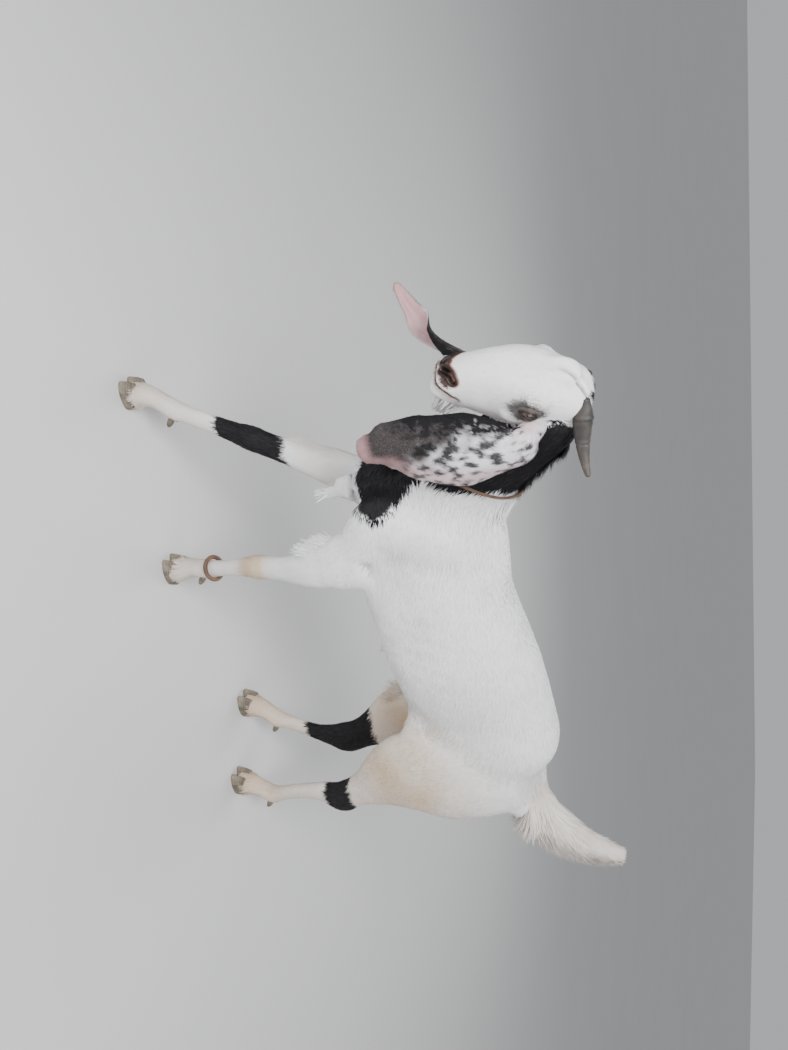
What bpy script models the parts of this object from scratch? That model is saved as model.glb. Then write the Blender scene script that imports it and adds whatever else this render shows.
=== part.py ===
"""A life-size standing goat, a young buck of a tall, long-eared, Roman-nosed breed.

The goat faces -Y with its left side towards +X and stands on the floor at Z 0.
The flesh is lofted in overlapping pieces, grown together, and then parted by
thin cuts into head, neck, torso, tail and legs. Ears, eyes, horns, claws and the
two bands that the goat wears are pieces of their own, fitted to the flesh.
"""

import math
import random
from dataclasses import dataclass

import bmesh
import bpy
from mathutils import Matrix, Vector
from mathutils.bvhtree import BVHTree
from mathutils.kdtree import KDTree

# Driving sizes, in metres. Places run forward from the hind feet, left, and up.
WITHERS_HEIGHT = 0.784
CROUP_HEIGHT = 0.823
BRISKET_HEIGHT = 0.482
BARREL_HALF_WIDTH = 0.118
HEAD_LENGTH = 0.247
EYE_RADIUS = 0.0135
EAR_WIDTH = 0.114
EAR_THICKNESS = 0.0042
HORN_LENGTH = 0.080
HORN_RADIUS = 0.0180
HORN_DROOP = {"left": 0.0, "right": math.radians(30)}
CLAW_LENGTH = 0.062
CLAW_HALF_WIDTH = 0.0125
CORONET_FRONT = 0.041
CORONET_REAR = 0.020
COLLAR_RADIUS = 0.0028
ANKLET_RADIUS = 0.0240
ANKLET_THICKNESS = 0.0045

GAP = 0.0003
SWELL = 0.00060
VOXEL = 0.0042
HEAD_TRIANGLES = 1050
FEET_TRIANGLES = 1100
BODY_TRIANGLES = 1300
SEED = 7


@dataclass
class Section:
    """One cross-section of a loft: its centre, half sizes and roundness."""

    centre: Vector
    side: float
    up: float
    down: float
    square: float = 1.0
    lean: float = 0.0


@dataclass
class Material:
    """A plain finish for one kind of surface."""

    name: str
    colour: tuple
    roughness: float
    metallic: float = 0.0


COAT = Material("white_coat", (0.83, 0.82, 0.79), 0.85)
DARK_COAT = Material("black_coat", (0.02, 0.02, 0.025), 0.8)
EAR_SKIN = Material("ear_skin", (0.55, 0.42, 0.40), 0.75)
EYE_GLOSS = Material("eye_gloss", (0.10, 0.07, 0.04), 0.12)
HORN = Material("horn", (0.16, 0.14, 0.12), 0.5)
HOOF = Material("hoof", (0.24, 0.19, 0.13), 0.6)
CORD = Material("cord", (0.35, 0.22, 0.15), 0.8)
BAND = Material("band", (0.14, 0.09, 0.05), 0.55)


def at(forward, left, up):
    """A point given by how far forward, left and up it is."""
    return Vector((left, -forward, up))


FORWARD = at(1, 0, 0)
UP = at(0, 0, 1)


def clear_scene():
    """Remove every object of the scene."""
    for old in list(bpy.data.objects):
        bpy.data.objects.remove(old)


def make_material(finish):
    """The Blender material of a finish, made once."""
    found = bpy.data.materials.get(finish.name)
    if found:
        return found
    material = bpy.data.materials.new(finish.name)
    material.use_nodes = True
    shader = material.node_tree.nodes["Principled BSDF"]
    shader.inputs["Base Color"].default_value = (*finish.colour, 1.0)
    shader.inputs["Roughness"].default_value = finish.roughness
    shader.inputs["Metallic"].default_value = finish.metallic
    material.diffuse_color = (*finish.colour, 1.0)
    return material


def add_object(name, mesh, finish=COAT):
    """Link a mesh as a named object of the scene."""
    made = bpy.data.objects.new(name, mesh)
    made.data.materials.append(make_material(finish))
    bpy.context.scene.collection.objects.link(made)
    return made


def spline(before, start, end, after, share):
    """Catmull-Rom value between start and end."""
    square, cube = share * share, share * share * share
    return 0.5 * (
        2 * start
        + (end - before) * share
        + (2 * before - 5 * start + 4 * end - after) * square
        + (3 * start - before - 3 * end + after) * cube
    )


def spread(values, steps):
    """The values with a smooth run of steps put between each pair."""
    padded = [values[0], *values, values[-1]]
    made = []
    for i in range(1, len(padded) - 2):
        for step in range(steps):
            made.append(spline(*padded[i - 1 : i + 3], step / steps))
    return [*made, values[-1]]


def finer(sections, steps):
    """The sections with smooth ones put between them."""
    columns = [
        spread([getattr(section, field) for section in sections], steps)
        for field in ("centre", "side", "up", "down", "square", "lean")
    ]
    return [Section(*row) for row in zip(*columns)]


def ring_points(section, along, upright, count):
    """The points of one cross-section, square to the direction along."""
    side = along.cross(upright).normalized()
    up = side.cross(along).normalized()
    points = []
    for i in range(count):
        angle = 2 * math.pi * i / count
        across, height = math.cos(angle), math.sin(angle)
        wide = math.copysign(abs(across) ** section.square, across)
        tall = math.copysign(abs(height) ** section.square, height)
        wide *= section.side * (1 + section.lean * tall)
        tall *= section.up if height > 0 else section.down
        points.append(section.centre + side * wide + up * tall)
    return points


def loft_mesh(sections, uprights, count):
    """A closed mesh through sections, each with its own upright."""
    shape = bmesh.new()
    rings = []
    last = len(sections) - 1
    for i, section in enumerate(sections):
        ahead = sections[min(i + 1, last)].centre
        along = (ahead - sections[max(i - 1, 0)].centre).normalized()
        points = ring_points(section, along, uprights[i], count)
        rings.append([shape.verts.new(point) for point in points])
    for near, far in zip(rings, rings[1:]):
        for i in range(count):
            j = (i + 1) % count
            shape.faces.new((near[i], near[j], far[j], far[i]))
    shape.faces.new(rings[0][::-1])
    shape.faces.new(rings[-1])
    bmesh.ops.recalc_face_normals(shape, faces=shape.faces)
    mesh = bpy.data.meshes.new("loft")
    shape.to_mesh(mesh)
    shape.free()
    return mesh


def loft(sections, upright=UP, steps=4, count=24):
    """A smooth closed loft through sections that share one upright."""
    fine = finer(sections, steps)
    return loft_mesh(fine, [upright] * len(fine), count)


def blob(centre, radii, frame=Matrix.Identity(3), segments=16):
    """An ellipsoid with its radii along the frame's axes."""
    shape = bmesh.new()
    place = Matrix.Translation(centre) @ frame.to_4x4() @ Matrix.Diagonal((*radii, 1.0))
    bmesh.ops.create_uvsphere(
        shape, u_segments=segments, v_segments=segments // 2, radius=1.0, matrix=place
    )
    mesh = bpy.data.meshes.new("blob")
    shape.to_mesh(mesh)
    shape.free()
    return mesh


def disc(centre, normal, radius, thickness):
    """A short cylinder used as a cutter, its middle at the centre."""
    shape = bmesh.new()
    turn = normal.to_track_quat("Z", "Y").to_matrix().to_4x4()
    bmesh.ops.create_cone(
        shape,
        cap_ends=True,
        segments=24,
        radius1=radius,
        radius2=radius,
        depth=thickness,
        matrix=Matrix.Translation(centre) @ turn,
    )
    mesh = bpy.data.meshes.new("disc")
    shape.to_mesh(mesh)
    shape.free()
    return mesh


def bent_sheet(points, across, half_width):
    """A thin cutter that follows points and runs half its width to either side."""
    shape = bmesh.new()
    rings = []
    last = len(points) - 1
    for i, point in enumerate(points):
        along = (points[min(i + 1, last)] - points[max(i - 1, 0)]).normalized()
        off = along.cross(across).normalized() * GAP / 2
        wide = across.normalized() * half_width
        corners = (point - wide - off, point + wide - off, point + wide + off, point - wide + off)
        rings.append([shape.verts.new(corner) for corner in corners])
    for near, far in zip(rings, rings[1:]):
        for i in range(4):
            j = (i + 1) % 4
            shape.faces.new((near[i], near[j], far[j], far[i]))
    shape.faces.new(rings[0][::-1])
    shape.faces.new(rings[-1])
    bmesh.ops.triangulate(shape, faces=shape.faces)
    bmesh.ops.recalc_face_normals(shape, faces=shape.faces)
    mesh = bpy.data.meshes.new("sheet")
    shape.to_mesh(mesh)
    shape.free()
    return mesh


def joined(meshes):
    """One mesh that holds all of these."""
    shape = bmesh.new()
    for mesh in meshes:
        shape.from_mesh(mesh)
    whole = bpy.data.meshes.new("joined")
    shape.to_mesh(whole)
    shape.free()
    return whole


def evaluated(made):
    """A copy of an object's mesh as its modifiers leave it."""
    graph = bpy.context.evaluated_depsgraph_get()
    return bpy.data.meshes.new_from_object(made.evaluated_get(graph))


def combine(mesh, others, operation):
    """The mesh after one Boolean with a collection of closed meshes."""
    made = add_object("host", mesh)
    tools = bpy.data.collections.new("tools")
    helpers = [bpy.data.objects.new("helper", other) for other in others]
    for helper in helpers:
        tools.objects.link(helper)
    modifier = made.modifiers.new("combine", "BOOLEAN")
    modifier.operation = operation
    modifier.operand_type = "COLLECTION"
    modifier.collection = tools
    modifier.solver = "MANIFOLD"
    result = evaluated(made)
    for helper in (made, *helpers):
        bpy.data.objects.remove(helper)
    bpy.data.collections.remove(tools)
    return result


def islands(mesh):
    """The separate closed surfaces of a mesh, largest first."""
    shape = bmesh.new()
    shape.from_mesh(mesh)
    shape.verts.ensure_lookup_table()
    unseen = set(range(len(shape.verts)))
    found = []
    while unseen:
        group, edge = set(), [unseen.pop()]
        while edge:
            index = edge.pop()
            group.add(index)
            for link in shape.verts[index].link_edges:
                other = link.other_vert(shape.verts[index]).index
                if other in unseen:
                    unseen.remove(other)
                    edge.append(other)
        found.append(group)
    made = []
    for group in sorted(found, key=len, reverse=True):
        piece = shape.copy()
        piece.verts.ensure_lookup_table()
        spare = [vert for vert in piece.verts if vert.index not in group]
        bmesh.ops.delete(piece, geom=spare, context="VERTS")
        part = bpy.data.meshes.new("island")
        piece.to_mesh(part)
        piece.free()
        made.append(part)
    shape.free()
    return made


def largest(mesh):
    """Only the largest closed surface of a mesh."""
    return islands(mesh)[0]


def swollen(mesh, by=SWELL):
    """A copy of the mesh grown along its normals."""
    shape = bmesh.new()
    shape.from_mesh(mesh)
    shape.normal_update()
    moved = [vert.co + vert.normal * vert.calc_shell_factor() * by for vert in shape.verts]
    for vert, point in zip(shape.verts, moved):
        vert.co = point
    grown = bpy.data.meshes.new("swollen")
    shape.to_mesh(grown)
    shape.free()
    return grown


def fitted(mesh, hosts):
    """The mesh cut clear of its hosts, so that it meets them across the gap."""
    cutters = [*hosts, *(swollen(host) for host in hosts)]
    return largest(combine(mesh, cutters, "DIFFERENCE"))


def fused(mesh, others):
    """The mesh joined with others that are rooted in it."""
    return largest(combine(mesh, others, "UNION"))


def surface_of(mesh):
    """A search tree of the mesh's faces."""
    shape = bmesh.new()
    shape.from_mesh(mesh)
    tree = BVHTree.FromBMesh(shape)
    shape.free()
    return tree


def path_sections(rows):
    """Sections of a limb from rows of forward, left, up, fore, rear and side sizes."""
    return [
        Section(at(forward, left, up), side, fore, rear)
        for forward, left, up, fore, rear, side in rows
    ]


def torso_piece():
    """The trunk from the pin bones to the breast."""
    loin = CROUP_HEIGHT - 0.012
    rows = (
        # forward, top, bottom, half width, squareness, lean
        (-0.058, 0.740, 0.672, 0.026, 1.0, 0.0),
        (-0.040, 0.758, 0.640, 0.048, 0.95, 0.0),
        (0.000, 0.777, 0.590, 0.068, 0.92, 0.02),
        (0.070, 0.799, 0.535, 0.084, 0.90, 0.03),
        (0.145, CROUP_HEIGHT, 0.515, 0.092, 0.88, 0.0),
        (0.215, CROUP_HEIGHT - 0.004, 0.526, 0.090, 0.88, -0.06),
        (0.290, loin, 0.514, 0.104, 0.88, -0.12),
        (0.380, WITHERS_HEIGHT + 0.008, 0.504, BARREL_HALF_WIDTH, 0.90, -0.14),
        (0.470, WITHERS_HEIGHT - 0.009, 0.495, BARREL_HALF_WIDTH - 0.006, 0.90, -0.14),
        (0.550, WITHERS_HEIGHT - 0.002, BRISKET_HEIGHT, 0.098, 0.94, -0.16),
        (0.625, WITHERS_HEIGHT, BRISKET_HEIGHT, 0.086, 0.96, -0.12),
        (0.690, WITHERS_HEIGHT - 0.022, 0.488, 0.074, 0.95, -0.02),
        (0.735, WITHERS_HEIGHT - 0.100, 0.500, 0.058, 0.98, 0.0),
        (0.766, 0.640, 0.530, 0.030, 1.0, 0.0),
    )
    sections = [
        Section(
            at(forward, 0, (top + bottom) / 2),
            side,
            (top - bottom) / 2,
            (top - bottom) / 2,
            square,
            lean,
        )
        for forward, top, bottom, side, square, lean in rows
    ]
    return loft(sections, steps=5, count=32)


NECK_ROWS = (
    # forward, left, up, half width, towards the crest, towards the throat
    (0.600, 0.000, 0.640, 0.060, 0.110, 0.100),
    (0.672, 0.002, 0.684, 0.058, 0.108, 0.098),
    (0.722, 0.008, 0.736, 0.052, 0.088, 0.084),
    (0.764, 0.018, 0.790, 0.047, 0.074, 0.070),
    (0.800, 0.032, 0.842, 0.044, 0.066, 0.062),
    (0.830, 0.046, 0.890, 0.043, 0.056, 0.056),
    (0.852, 0.054, 0.925, 0.036, 0.040, 0.046),
)


def neck_sections():
    """The neck's cross-sections from the shoulders to the skull."""
    return [
        Section(at(forward, left, up), side, crest, throat, 0.95, -0.08)
        for forward, left, up, side, crest, throat in NECK_ROWS
    ]


HEAD_TURN = math.radians(33)
HEAD_TILT = math.radians(18)
POLL = at(0.870, 0.051, 0.946)
DRAWN_HEAD_LENGTH = 0.271
HEAD_SCALE = HEAD_LENGTH / DRAWN_HEAD_LENGTH


def head_matrix():
    """From head space, with X right, Y down the face and Z out of the nose bridge."""
    facing = at(math.cos(HEAD_TURN), math.sin(HEAD_TURN), 0)
    down_face = facing * math.sin(HEAD_TILT) - UP * math.cos(HEAD_TILT)
    bridge = facing * math.cos(HEAD_TILT) + UP * math.sin(HEAD_TILT)
    right = down_face.cross(bridge)
    turn = Matrix((right, down_face, bridge)).transposed().to_4x4()
    return Matrix.Translation(POLL) @ turn


HEAD = head_matrix()
HEAD_AXES = HEAD.to_3x3()


def in_head(right, down, out):
    """A point given in head space."""
    return HEAD @ (Vector((right, down, out)) * HEAD_SCALE)


def skull_pieces():
    """The head's masses: skull, muzzle, jaw, cheeks, brows and lips."""
    rows = (
        # down the face, bridge height, jaw depth, half width, squareness, lean
        (-0.026, 0.012, 0.030, 0.026, 1.0, 0.0),
        (-0.008, 0.040, 0.050, 0.043, 0.92, 0.0),
        (0.022, 0.057, 0.062, 0.051, 0.88, 0.05),
        (0.055, 0.067, 0.072, 0.057, 0.88, 0.12),
        (0.088, 0.074, 0.073, 0.058, 0.88, 0.16),
        (0.120, 0.076, 0.067, 0.052, 0.90, 0.12),
        (0.150, 0.071, 0.057, 0.045, 0.90, 0.06),
        (0.178, 0.061, 0.047, 0.040, 0.90, 0.0),
        (0.204, 0.048, 0.039, 0.036, 0.86, 0.0),
        (0.226, 0.032, 0.030, 0.032, 0.84, 0.0),
        (0.240, 0.015, 0.018, 0.023, 0.90, 0.0),
    )
    size = HEAD_SCALE
    sections = [
        Section(in_head(0, down, 0), side * size, up * size, jaw * size, square, lean)
        for down, up, jaw, side, square, lean in rows
    ]
    bridge = HEAD_AXES.col[2]
    scaled_axes = HEAD_AXES * size
    pieces = [loft(sections, bridge, steps=5, count=28)]
    for turn in (-1, 1):
        masses = (
            # right, down, out, and the radii along the same axes
            ((0.047, 0.066, 0.033), (0.017, 0.027, 0.021)),
            ((0.051, 0.086, -0.002), (0.013, 0.036, 0.020)),
            ((0.038, 0.056, -0.034), (0.021, 0.046, 0.034)),
            ((0.021, 0.211, 0.016), (0.013, 0.020, 0.017)),
            ((0.018, 0.224, -0.002), (0.015, 0.017, 0.013)),
        )
        for (right, down, out), radii in masses:
            pieces.append(blob(in_head(turn * right, down, out), radii, scaled_axes))
    pieces.append(blob(in_head(0, 0.222, -0.020), (0.021, 0.018, 0.011), scaled_axes))
    pieces.append(blob(in_head(0, 0.045, 0.052), (0.030, 0.045, 0.018), scaled_axes))
    return pieces


FORE_LEG_ROWS = {
    # forward, left, up, half sizes to the front, to the rear and to the side
    "left": (
        (0.585, 0.072, 0.540, 0.078, 0.050, 0.030),
        (0.568, 0.074, 0.492, 0.076, 0.042, 0.032),
        (0.560, 0.071, 0.440, 0.060, 0.034, 0.030),
        (0.556, 0.064, 0.385, 0.038, 0.031, 0.0255),
        (0.553, 0.052, 0.318, 0.026, 0.025, 0.0210),
        (0.550, 0.043, 0.268, 0.026, 0.026, 0.0245),
        (0.544, 0.035, 0.225, 0.020, 0.021, 0.0190),
        (0.536, 0.028, 0.180, 0.0165, 0.0175, 0.0155),
        (0.530, 0.022, 0.135, 0.0170, 0.0185, 0.0165),
        (0.526, 0.018, 0.106, 0.0210, 0.0235, 0.0210),
        (0.526, 0.015, 0.078, 0.0185, 0.0200, 0.0215),
        (0.522, 0.012, 0.052, 0.0225, 0.0230, 0.0250),
        (0.516, 0.011, 0.028, 0.0260, 0.0260, 0.0270),
        (0.514, 0.010, 0.010, 0.0260, 0.0260, 0.0270),
    ),
    "right": (
        (0.640, -0.070, 0.540, 0.060, 0.050, 0.030),
        (0.666, -0.074, 0.492, 0.056, 0.046, 0.032),
        (0.706, -0.070, 0.438, 0.045, 0.040, 0.029),
        (0.740, -0.062, 0.378, 0.034, 0.033, 0.0250),
        (0.768, -0.056, 0.318, 0.025, 0.026, 0.0210),
        (0.788, -0.053, 0.276, 0.027, 0.026, 0.0250),
        (0.807, -0.053, 0.234, 0.021, 0.022, 0.0200),
        (0.828, -0.054, 0.184, 0.0180, 0.0195, 0.0170),
        (0.848, -0.056, 0.136, 0.0180, 0.0200, 0.0175),
        (0.861, -0.057, 0.104, 0.0215, 0.0240, 0.0215),
        (0.881, -0.057, 0.076, 0.0185, 0.0200, 0.0215),
        (0.893, -0.057, 0.052, 0.0225, 0.0230, 0.0250),
        (0.898, -0.057, 0.028, 0.0260, 0.0260, 0.0270),
        (0.900, -0.057, 0.010, 0.0260, 0.0260, 0.0270),
    ),
}
HIND_LEG_ROWS = {
    "left": (
        (0.058, 0.046, 0.740, 0.070, 0.078, 0.030),
        (0.062, 0.062, 0.660, 0.105, 0.112, 0.040),
        (0.072, 0.072, 0.585, 0.122, 0.132, 0.044),
        (0.062, 0.076, 0.515, 0.105, 0.120, 0.041),
        (0.030, 0.073, 0.450, 0.072, 0.083, 0.034),
        (-0.008, 0.068, 0.392, 0.046, 0.052, 0.0265),
        (-0.038, 0.064, 0.342, 0.035, 0.038, 0.0225),
        (-0.060, 0.062, 0.296, 0.034, 0.048, 0.0225),
        (-0.060, 0.060, 0.258, 0.026, 0.029, 0.0210),
        (-0.065, 0.059, 0.218, 0.0195, 0.0200, 0.0175),
        (-0.078, 0.058, 0.168, 0.0175, 0.0180, 0.0155),
        (-0.093, 0.057, 0.123, 0.0180, 0.0190, 0.0170),
        (-0.101, 0.057, 0.097, 0.0215, 0.0240, 0.0215),
        (-0.090, 0.057, 0.072, 0.0185, 0.0200, 0.0215),
        (-0.082, 0.057, 0.050, 0.0225, 0.0230, 0.0250),
        (-0.078, 0.057, 0.028, 0.0260, 0.0260, 0.0270),
        (-0.076, 0.057, 0.010, 0.0260, 0.0260, 0.0270),
    ),
    "right": (
        (0.062, -0.046, 0.740, 0.070, 0.078, 0.030),
        (0.070, -0.062, 0.660, 0.105, 0.112, 0.040),
        (0.088, -0.072, 0.580, 0.120, 0.134, 0.044),
        (0.092, -0.076, 0.508, 0.104, 0.116, 0.041),
        (0.074, -0.073, 0.440, 0.084, 0.078, 0.034),
        (0.044, -0.068, 0.378, 0.058, 0.052, 0.0265),
        (0.018, -0.064, 0.322, 0.042, 0.040, 0.0225),
        (0.003, -0.061, 0.266, 0.038, 0.047, 0.0225),
        (0.004, -0.060, 0.230, 0.028, 0.030, 0.0210),
        (0.009, -0.059, 0.194, 0.0195, 0.0210, 0.0175),
        (0.020, -0.058, 0.155, 0.0175, 0.0180, 0.0155),
        (0.032, -0.057, 0.115, 0.0180, 0.0190, 0.0170),
        (0.038, -0.057, 0.092, 0.0215, 0.0240, 0.0215),
        (0.056, -0.057, 0.069, 0.0185, 0.0200, 0.0215),
        (0.068, -0.057, 0.049, 0.0225, 0.0230, 0.0250),
        (0.074, -0.057, 0.028, 0.0260, 0.0260, 0.0270),
        (0.076, -0.057, 0.010, 0.0260, 0.0260, 0.0270),
    ),
}
LEGS = {"foreleg": FORE_LEG_ROWS, "hindleg": HIND_LEG_ROWS}
CUT_HEIGHTS = {"foreleg": (0.486, 0.268), "hindleg": (0.512, 0.300)}
SIDES = {"left": 1, "right": -1}


def leg_pieces(side):
    """One foreleg with its shoulder, and the hind leg of the same side."""
    turn = SIDES[side]
    elbow = FORE_LEG_ROWS[side][0]
    shoulder = (
        (0.575, turn * 0.030, 0.762, 0.030, 0.036, 0.012),
        (0.612, turn * 0.058, 0.705, 0.045, 0.056, 0.024),
        (0.652, turn * 0.070, 0.635, 0.050, 0.062, 0.030),
        (0.672, turn * 0.073, 0.578, 0.046, 0.062, 0.031),
        (elbow[0] + 0.025, turn * 0.073, 0.530, 0.050, 0.056, 0.031),
    )
    return [
        loft(path_sections(shoulder), FORWARD),
        loft(path_sections(FORE_LEG_ROWS[side]), FORWARD),
        loft(path_sections(HIND_LEG_ROWS[side]), FORWARD),
        blob(at(0.165, turn * 0.057, 0.757), (0.026, 0.028, 0.026)),
        blob(at(-0.028, turn * 0.036, 0.722), (0.024, 0.032, 0.032)),
        blob(at(elbow[0] - 0.040, turn * 0.070, elbow[2] - 0.030), (0.012, 0.014, 0.026)),
    ]


TAIL_ROWS = (
    # forward, up, half depth, half width
    (0.040, 0.762, 0.022, 0.030),
    (-0.010, 0.758, 0.024, 0.030),
    (-0.062, 0.764, 0.028, 0.027),
    (-0.108, 0.792, 0.024, 0.022),
    (-0.140, 0.826, 0.019, 0.017),
    (-0.158, 0.864, 0.014, 0.013),
    (-0.167, 0.893, 0.008, 0.008),
)


def tail_core():
    """The fleshy core of the raised tail."""
    sections = [
        Section(at(forward, 0, up), side, deep, deep) for forward, up, deep, side in TAIL_ROWS
    ]
    return loft(sections)


def underline_pieces():
    """The brisket fold, the flank folds, the sheath and the scrotum."""
    brisket = (
        (0.700, -0.004, 0.500, 0.030, 0.030, 0.022),
        (0.700, -0.002, 0.474, 0.022, 0.026, 0.014),
        (0.692, 0.002, 0.452, 0.010, 0.014, 0.007),
    )
    sheath = (
        (0.180, 0, 0.532, 0.016, 0.016, 0.016),
        (0.250, 0, 0.520, 0.016, 0.020, 0.014),
        (0.310, 0, 0.508, 0.012, 0.018, 0.011),
        (0.330, 0, 0.500, 0.006, 0.008, 0.006),
    )
    scrotum = (
        (0.024, 0, 0.610, 0.026, 0.026, 0.020),
        (0.018, 0, 0.560, 0.022, 0.022, 0.019),
        (0.010, 0, 0.505, 0.019, 0.019, 0.018),
        (0.006, 0, 0.460, 0.023, 0.023, 0.024),
        (0.004, 0, 0.430, 0.020, 0.020, 0.022),
        (0.004, 0, 0.414, 0.009, 0.009, 0.010),
    )
    pieces = [
        loft(path_sections(brisket), FORWARD),
        loft(path_sections(sheath), UP),
        loft(path_sections(scrotum), FORWARD),
    ]
    for turn in SIDES.values():
        flank = (
            (0.280, turn * 0.050, 0.590, 0.020, 0.022, 0.014),
            (0.225, turn * 0.068, 0.566, 0.024, 0.028, 0.014),
            (0.165, turn * 0.078, 0.535, 0.022, 0.028, 0.014),
        )
        pieces.append(loft(path_sections(flank), UP))
    return pieces


def relax(mesh, rounds, chosen=None, shrink=0.5, grow=-0.52):
    """Smooth a mesh without shrinking it, or shrinking only the chosen points."""
    shape = bmesh.new()
    shape.from_mesh(mesh)
    verts = [vert for vert in shape.verts if chosen is None or chosen(vert.co)]
    for _ in range(rounds):
        for factor in (shrink, grow):
            bmesh.ops.smooth_vert(
                shape, verts=verts, factor=factor, use_axis_x=True, use_axis_y=True, use_axis_z=True
            )
    shape.to_mesh(mesh)
    shape.free()
    return mesh


def on_trunk(point):
    """Whether a point is on the broad forms of trunk, thighs and shoulders."""
    hanging = abs(point.x) < 0.034 and point.z < 0.57 and -0.05 < point.y
    return 0.43 < point.z and -0.72 < point.y < 0.055 and not hanging


def grown_flesh():
    """All the flesh as one smooth closed mesh of many small faces."""
    pieces = [torso_piece(), loft(neck_sections(), UP, steps=5), tail_core()]
    pieces += skull_pieces() + underline_pieces()
    for side in SIDES:
        pieces += leg_pieces(side)
    whole = add_object("flesh", joined(pieces))
    remesh = whole.modifiers.new("grow", "REMESH")
    remesh.mode = "VOXEL"
    remesh.voxel_size = VOXEL
    mesh = evaluated(whole)
    bpy.data.objects.remove(whole)
    mesh = largest(mesh)
    relax(mesh, 4)
    relax(mesh, 40, on_trunk, 0.5, -0.15)
    return mesh


def thinned(mesh, keep, chosen):
    """The mesh with only so many triangles where the chosen points are."""
    shape = bmesh.new()
    shape.from_mesh(mesh)
    bmesh.ops.triangulate(shape, faces=shape.faces)
    shape.to_mesh(mesh)
    shape.free()
    made = add_object("flesh", mesh)
    group = made.vertex_groups.new(name="chosen")
    inside = [vert.index for vert in mesh.vertices if chosen(vert.co)]
    group.add(inside, 1.0, "REPLACE")
    marked = set(inside)
    busy = sum(1 for face in mesh.polygons if all(v in marked for v in face.vertices))
    decimate = made.modifiers.new("thin", "DECIMATE")
    decimate.ratio = (len(mesh.polygons) - busy + keep) / len(mesh.polygons)
    decimate.vertex_group = group.name
    decimate.vertex_group_factor = 1.0
    result = evaluated(made)
    bpy.data.objects.remove(made)
    return result


def in_head_region(point):
    """Whether a point is on the head, not the neck."""
    place = HEAD.inverted() @ point
    return place.z > -0.078 and -0.055 < place.y and abs(place.x) < 0.12 and point.z > 0.66


def thinned_flesh(mesh):
    """The flesh with few faces on the broad forms and more on the head and the feet."""
    regions = (
        (HEAD_TRIANGLES, in_head_region),
        (FEET_TRIANGLES, lambda point: point.z < 0.32),
        (BODY_TRIANGLES, lambda point: point.z >= 0.32 and not in_head_region(point)),
    )
    for keep, chosen in regions:
        mesh = thinned(mesh, keep, chosen)
    return mesh


def leg_middle(rows, height):
    """Where the middle of a leg is at a height."""
    below = next(i for i, row in enumerate(rows) if row[2] < height)
    high, low = rows[below - 1], rows[below]
    share = (high[2] - height) / (high[2] - low[2])
    return [start + (end - start) * share for start, end in zip(high[:3], low[:3])]


def leg_cut(rows, height, radius):
    """A thin cut square to a leg at a height."""
    below = next(i for i, row in enumerate(rows) if row[2] < height)
    high, low = at(*rows[below - 1][:3]), at(*rows[below][:3])
    share = (high.z - height) / (high.z - low.z)
    return disc(high.lerp(low, share), (high - low).normalized(), radius, GAP)


def coronet_frame(rows):
    """The middle of a foot's coronet and the slope of its plane."""
    forward, left = rows[-1][0], rows[-1][1]
    rise = (CORONET_FRONT - CORONET_REAR) / CLAW_LENGTH
    normal = (UP - FORWARD * rise).normalized()
    return at(forward, left, (CORONET_FRONT + CORONET_REAR) / 2), normal, rise


def throat_line():
    """The line behind the poll and under the jaw where head and neck part."""
    stops = (
        # down the face, out of the bridge
        (-0.075, -0.040),
        (0.000, -0.046),
        (0.045, -0.070),
        (0.090, -0.079),
        (0.125, -0.073),
        (0.152, -0.062),
        (0.185, -0.052),
    )
    return spread([in_head(0, down, out) for down, out in stops], 3)


def parted_flesh(mesh):
    """The flesh parted into its named nodes by thin cuts."""
    cuts = [
        bent_sheet(throat_line(), HEAD_AXES.col[0], 0.075),
        disc(at(0.712, 0.006, 0.715), at(0.72, 0.08, 0.50).normalized(), 0.150, GAP),
        disc(at(-0.062, 0, 0.764), at(-0.93, 0, 0.25).normalized(), 0.060, GAP),
    ]
    seeds = {
        "torso": at(0.35, 0, 0.65),
        "neck": at(0.77, 0.02, 0.80),
        "head": in_head(0, 0.09, 0),
        "tail": at(-0.12, 0, 0.81),
        "scrotum": at(0.008, 0, 0.46),
    }
    for kind, table in LEGS.items():
        for side, rows in table.items():
            upper, lower = CUT_HEIGHTS[kind]
            reach = 0.150 if kind == "hindleg" else 0.092
            middle = at(*leg_middle(rows, upper))
            cuts.append(disc(middle, UP, reach, GAP))
            cuts.append(leg_cut(rows, lower, 0.060))
            middle, normal, _ = coronet_frame(rows)
            cuts.append(disc(middle - normal * 0.030, normal, 0.045, 0.060))
            for name, height in (("upper", (upper + lower) / 2), ("lower", 0.15)):
                seeds[f"{kind}_{side}_{name}"] = at(*leg_middle(rows, height))
    pieces = islands(combine(mesh, cuts, "DIFFERENCE"))
    places = [sum((v.co for v in piece.vertices), Vector()) / len(piece.vertices) for piece in pieces]
    nodes = {}
    for name, seed in seeds.items():
        nearest = min(range(len(pieces)), key=lambda i: (places[i] - seed).length)
        nodes[name] = pieces.pop(nearest)
        places.pop(nearest)
    return nodes


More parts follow.
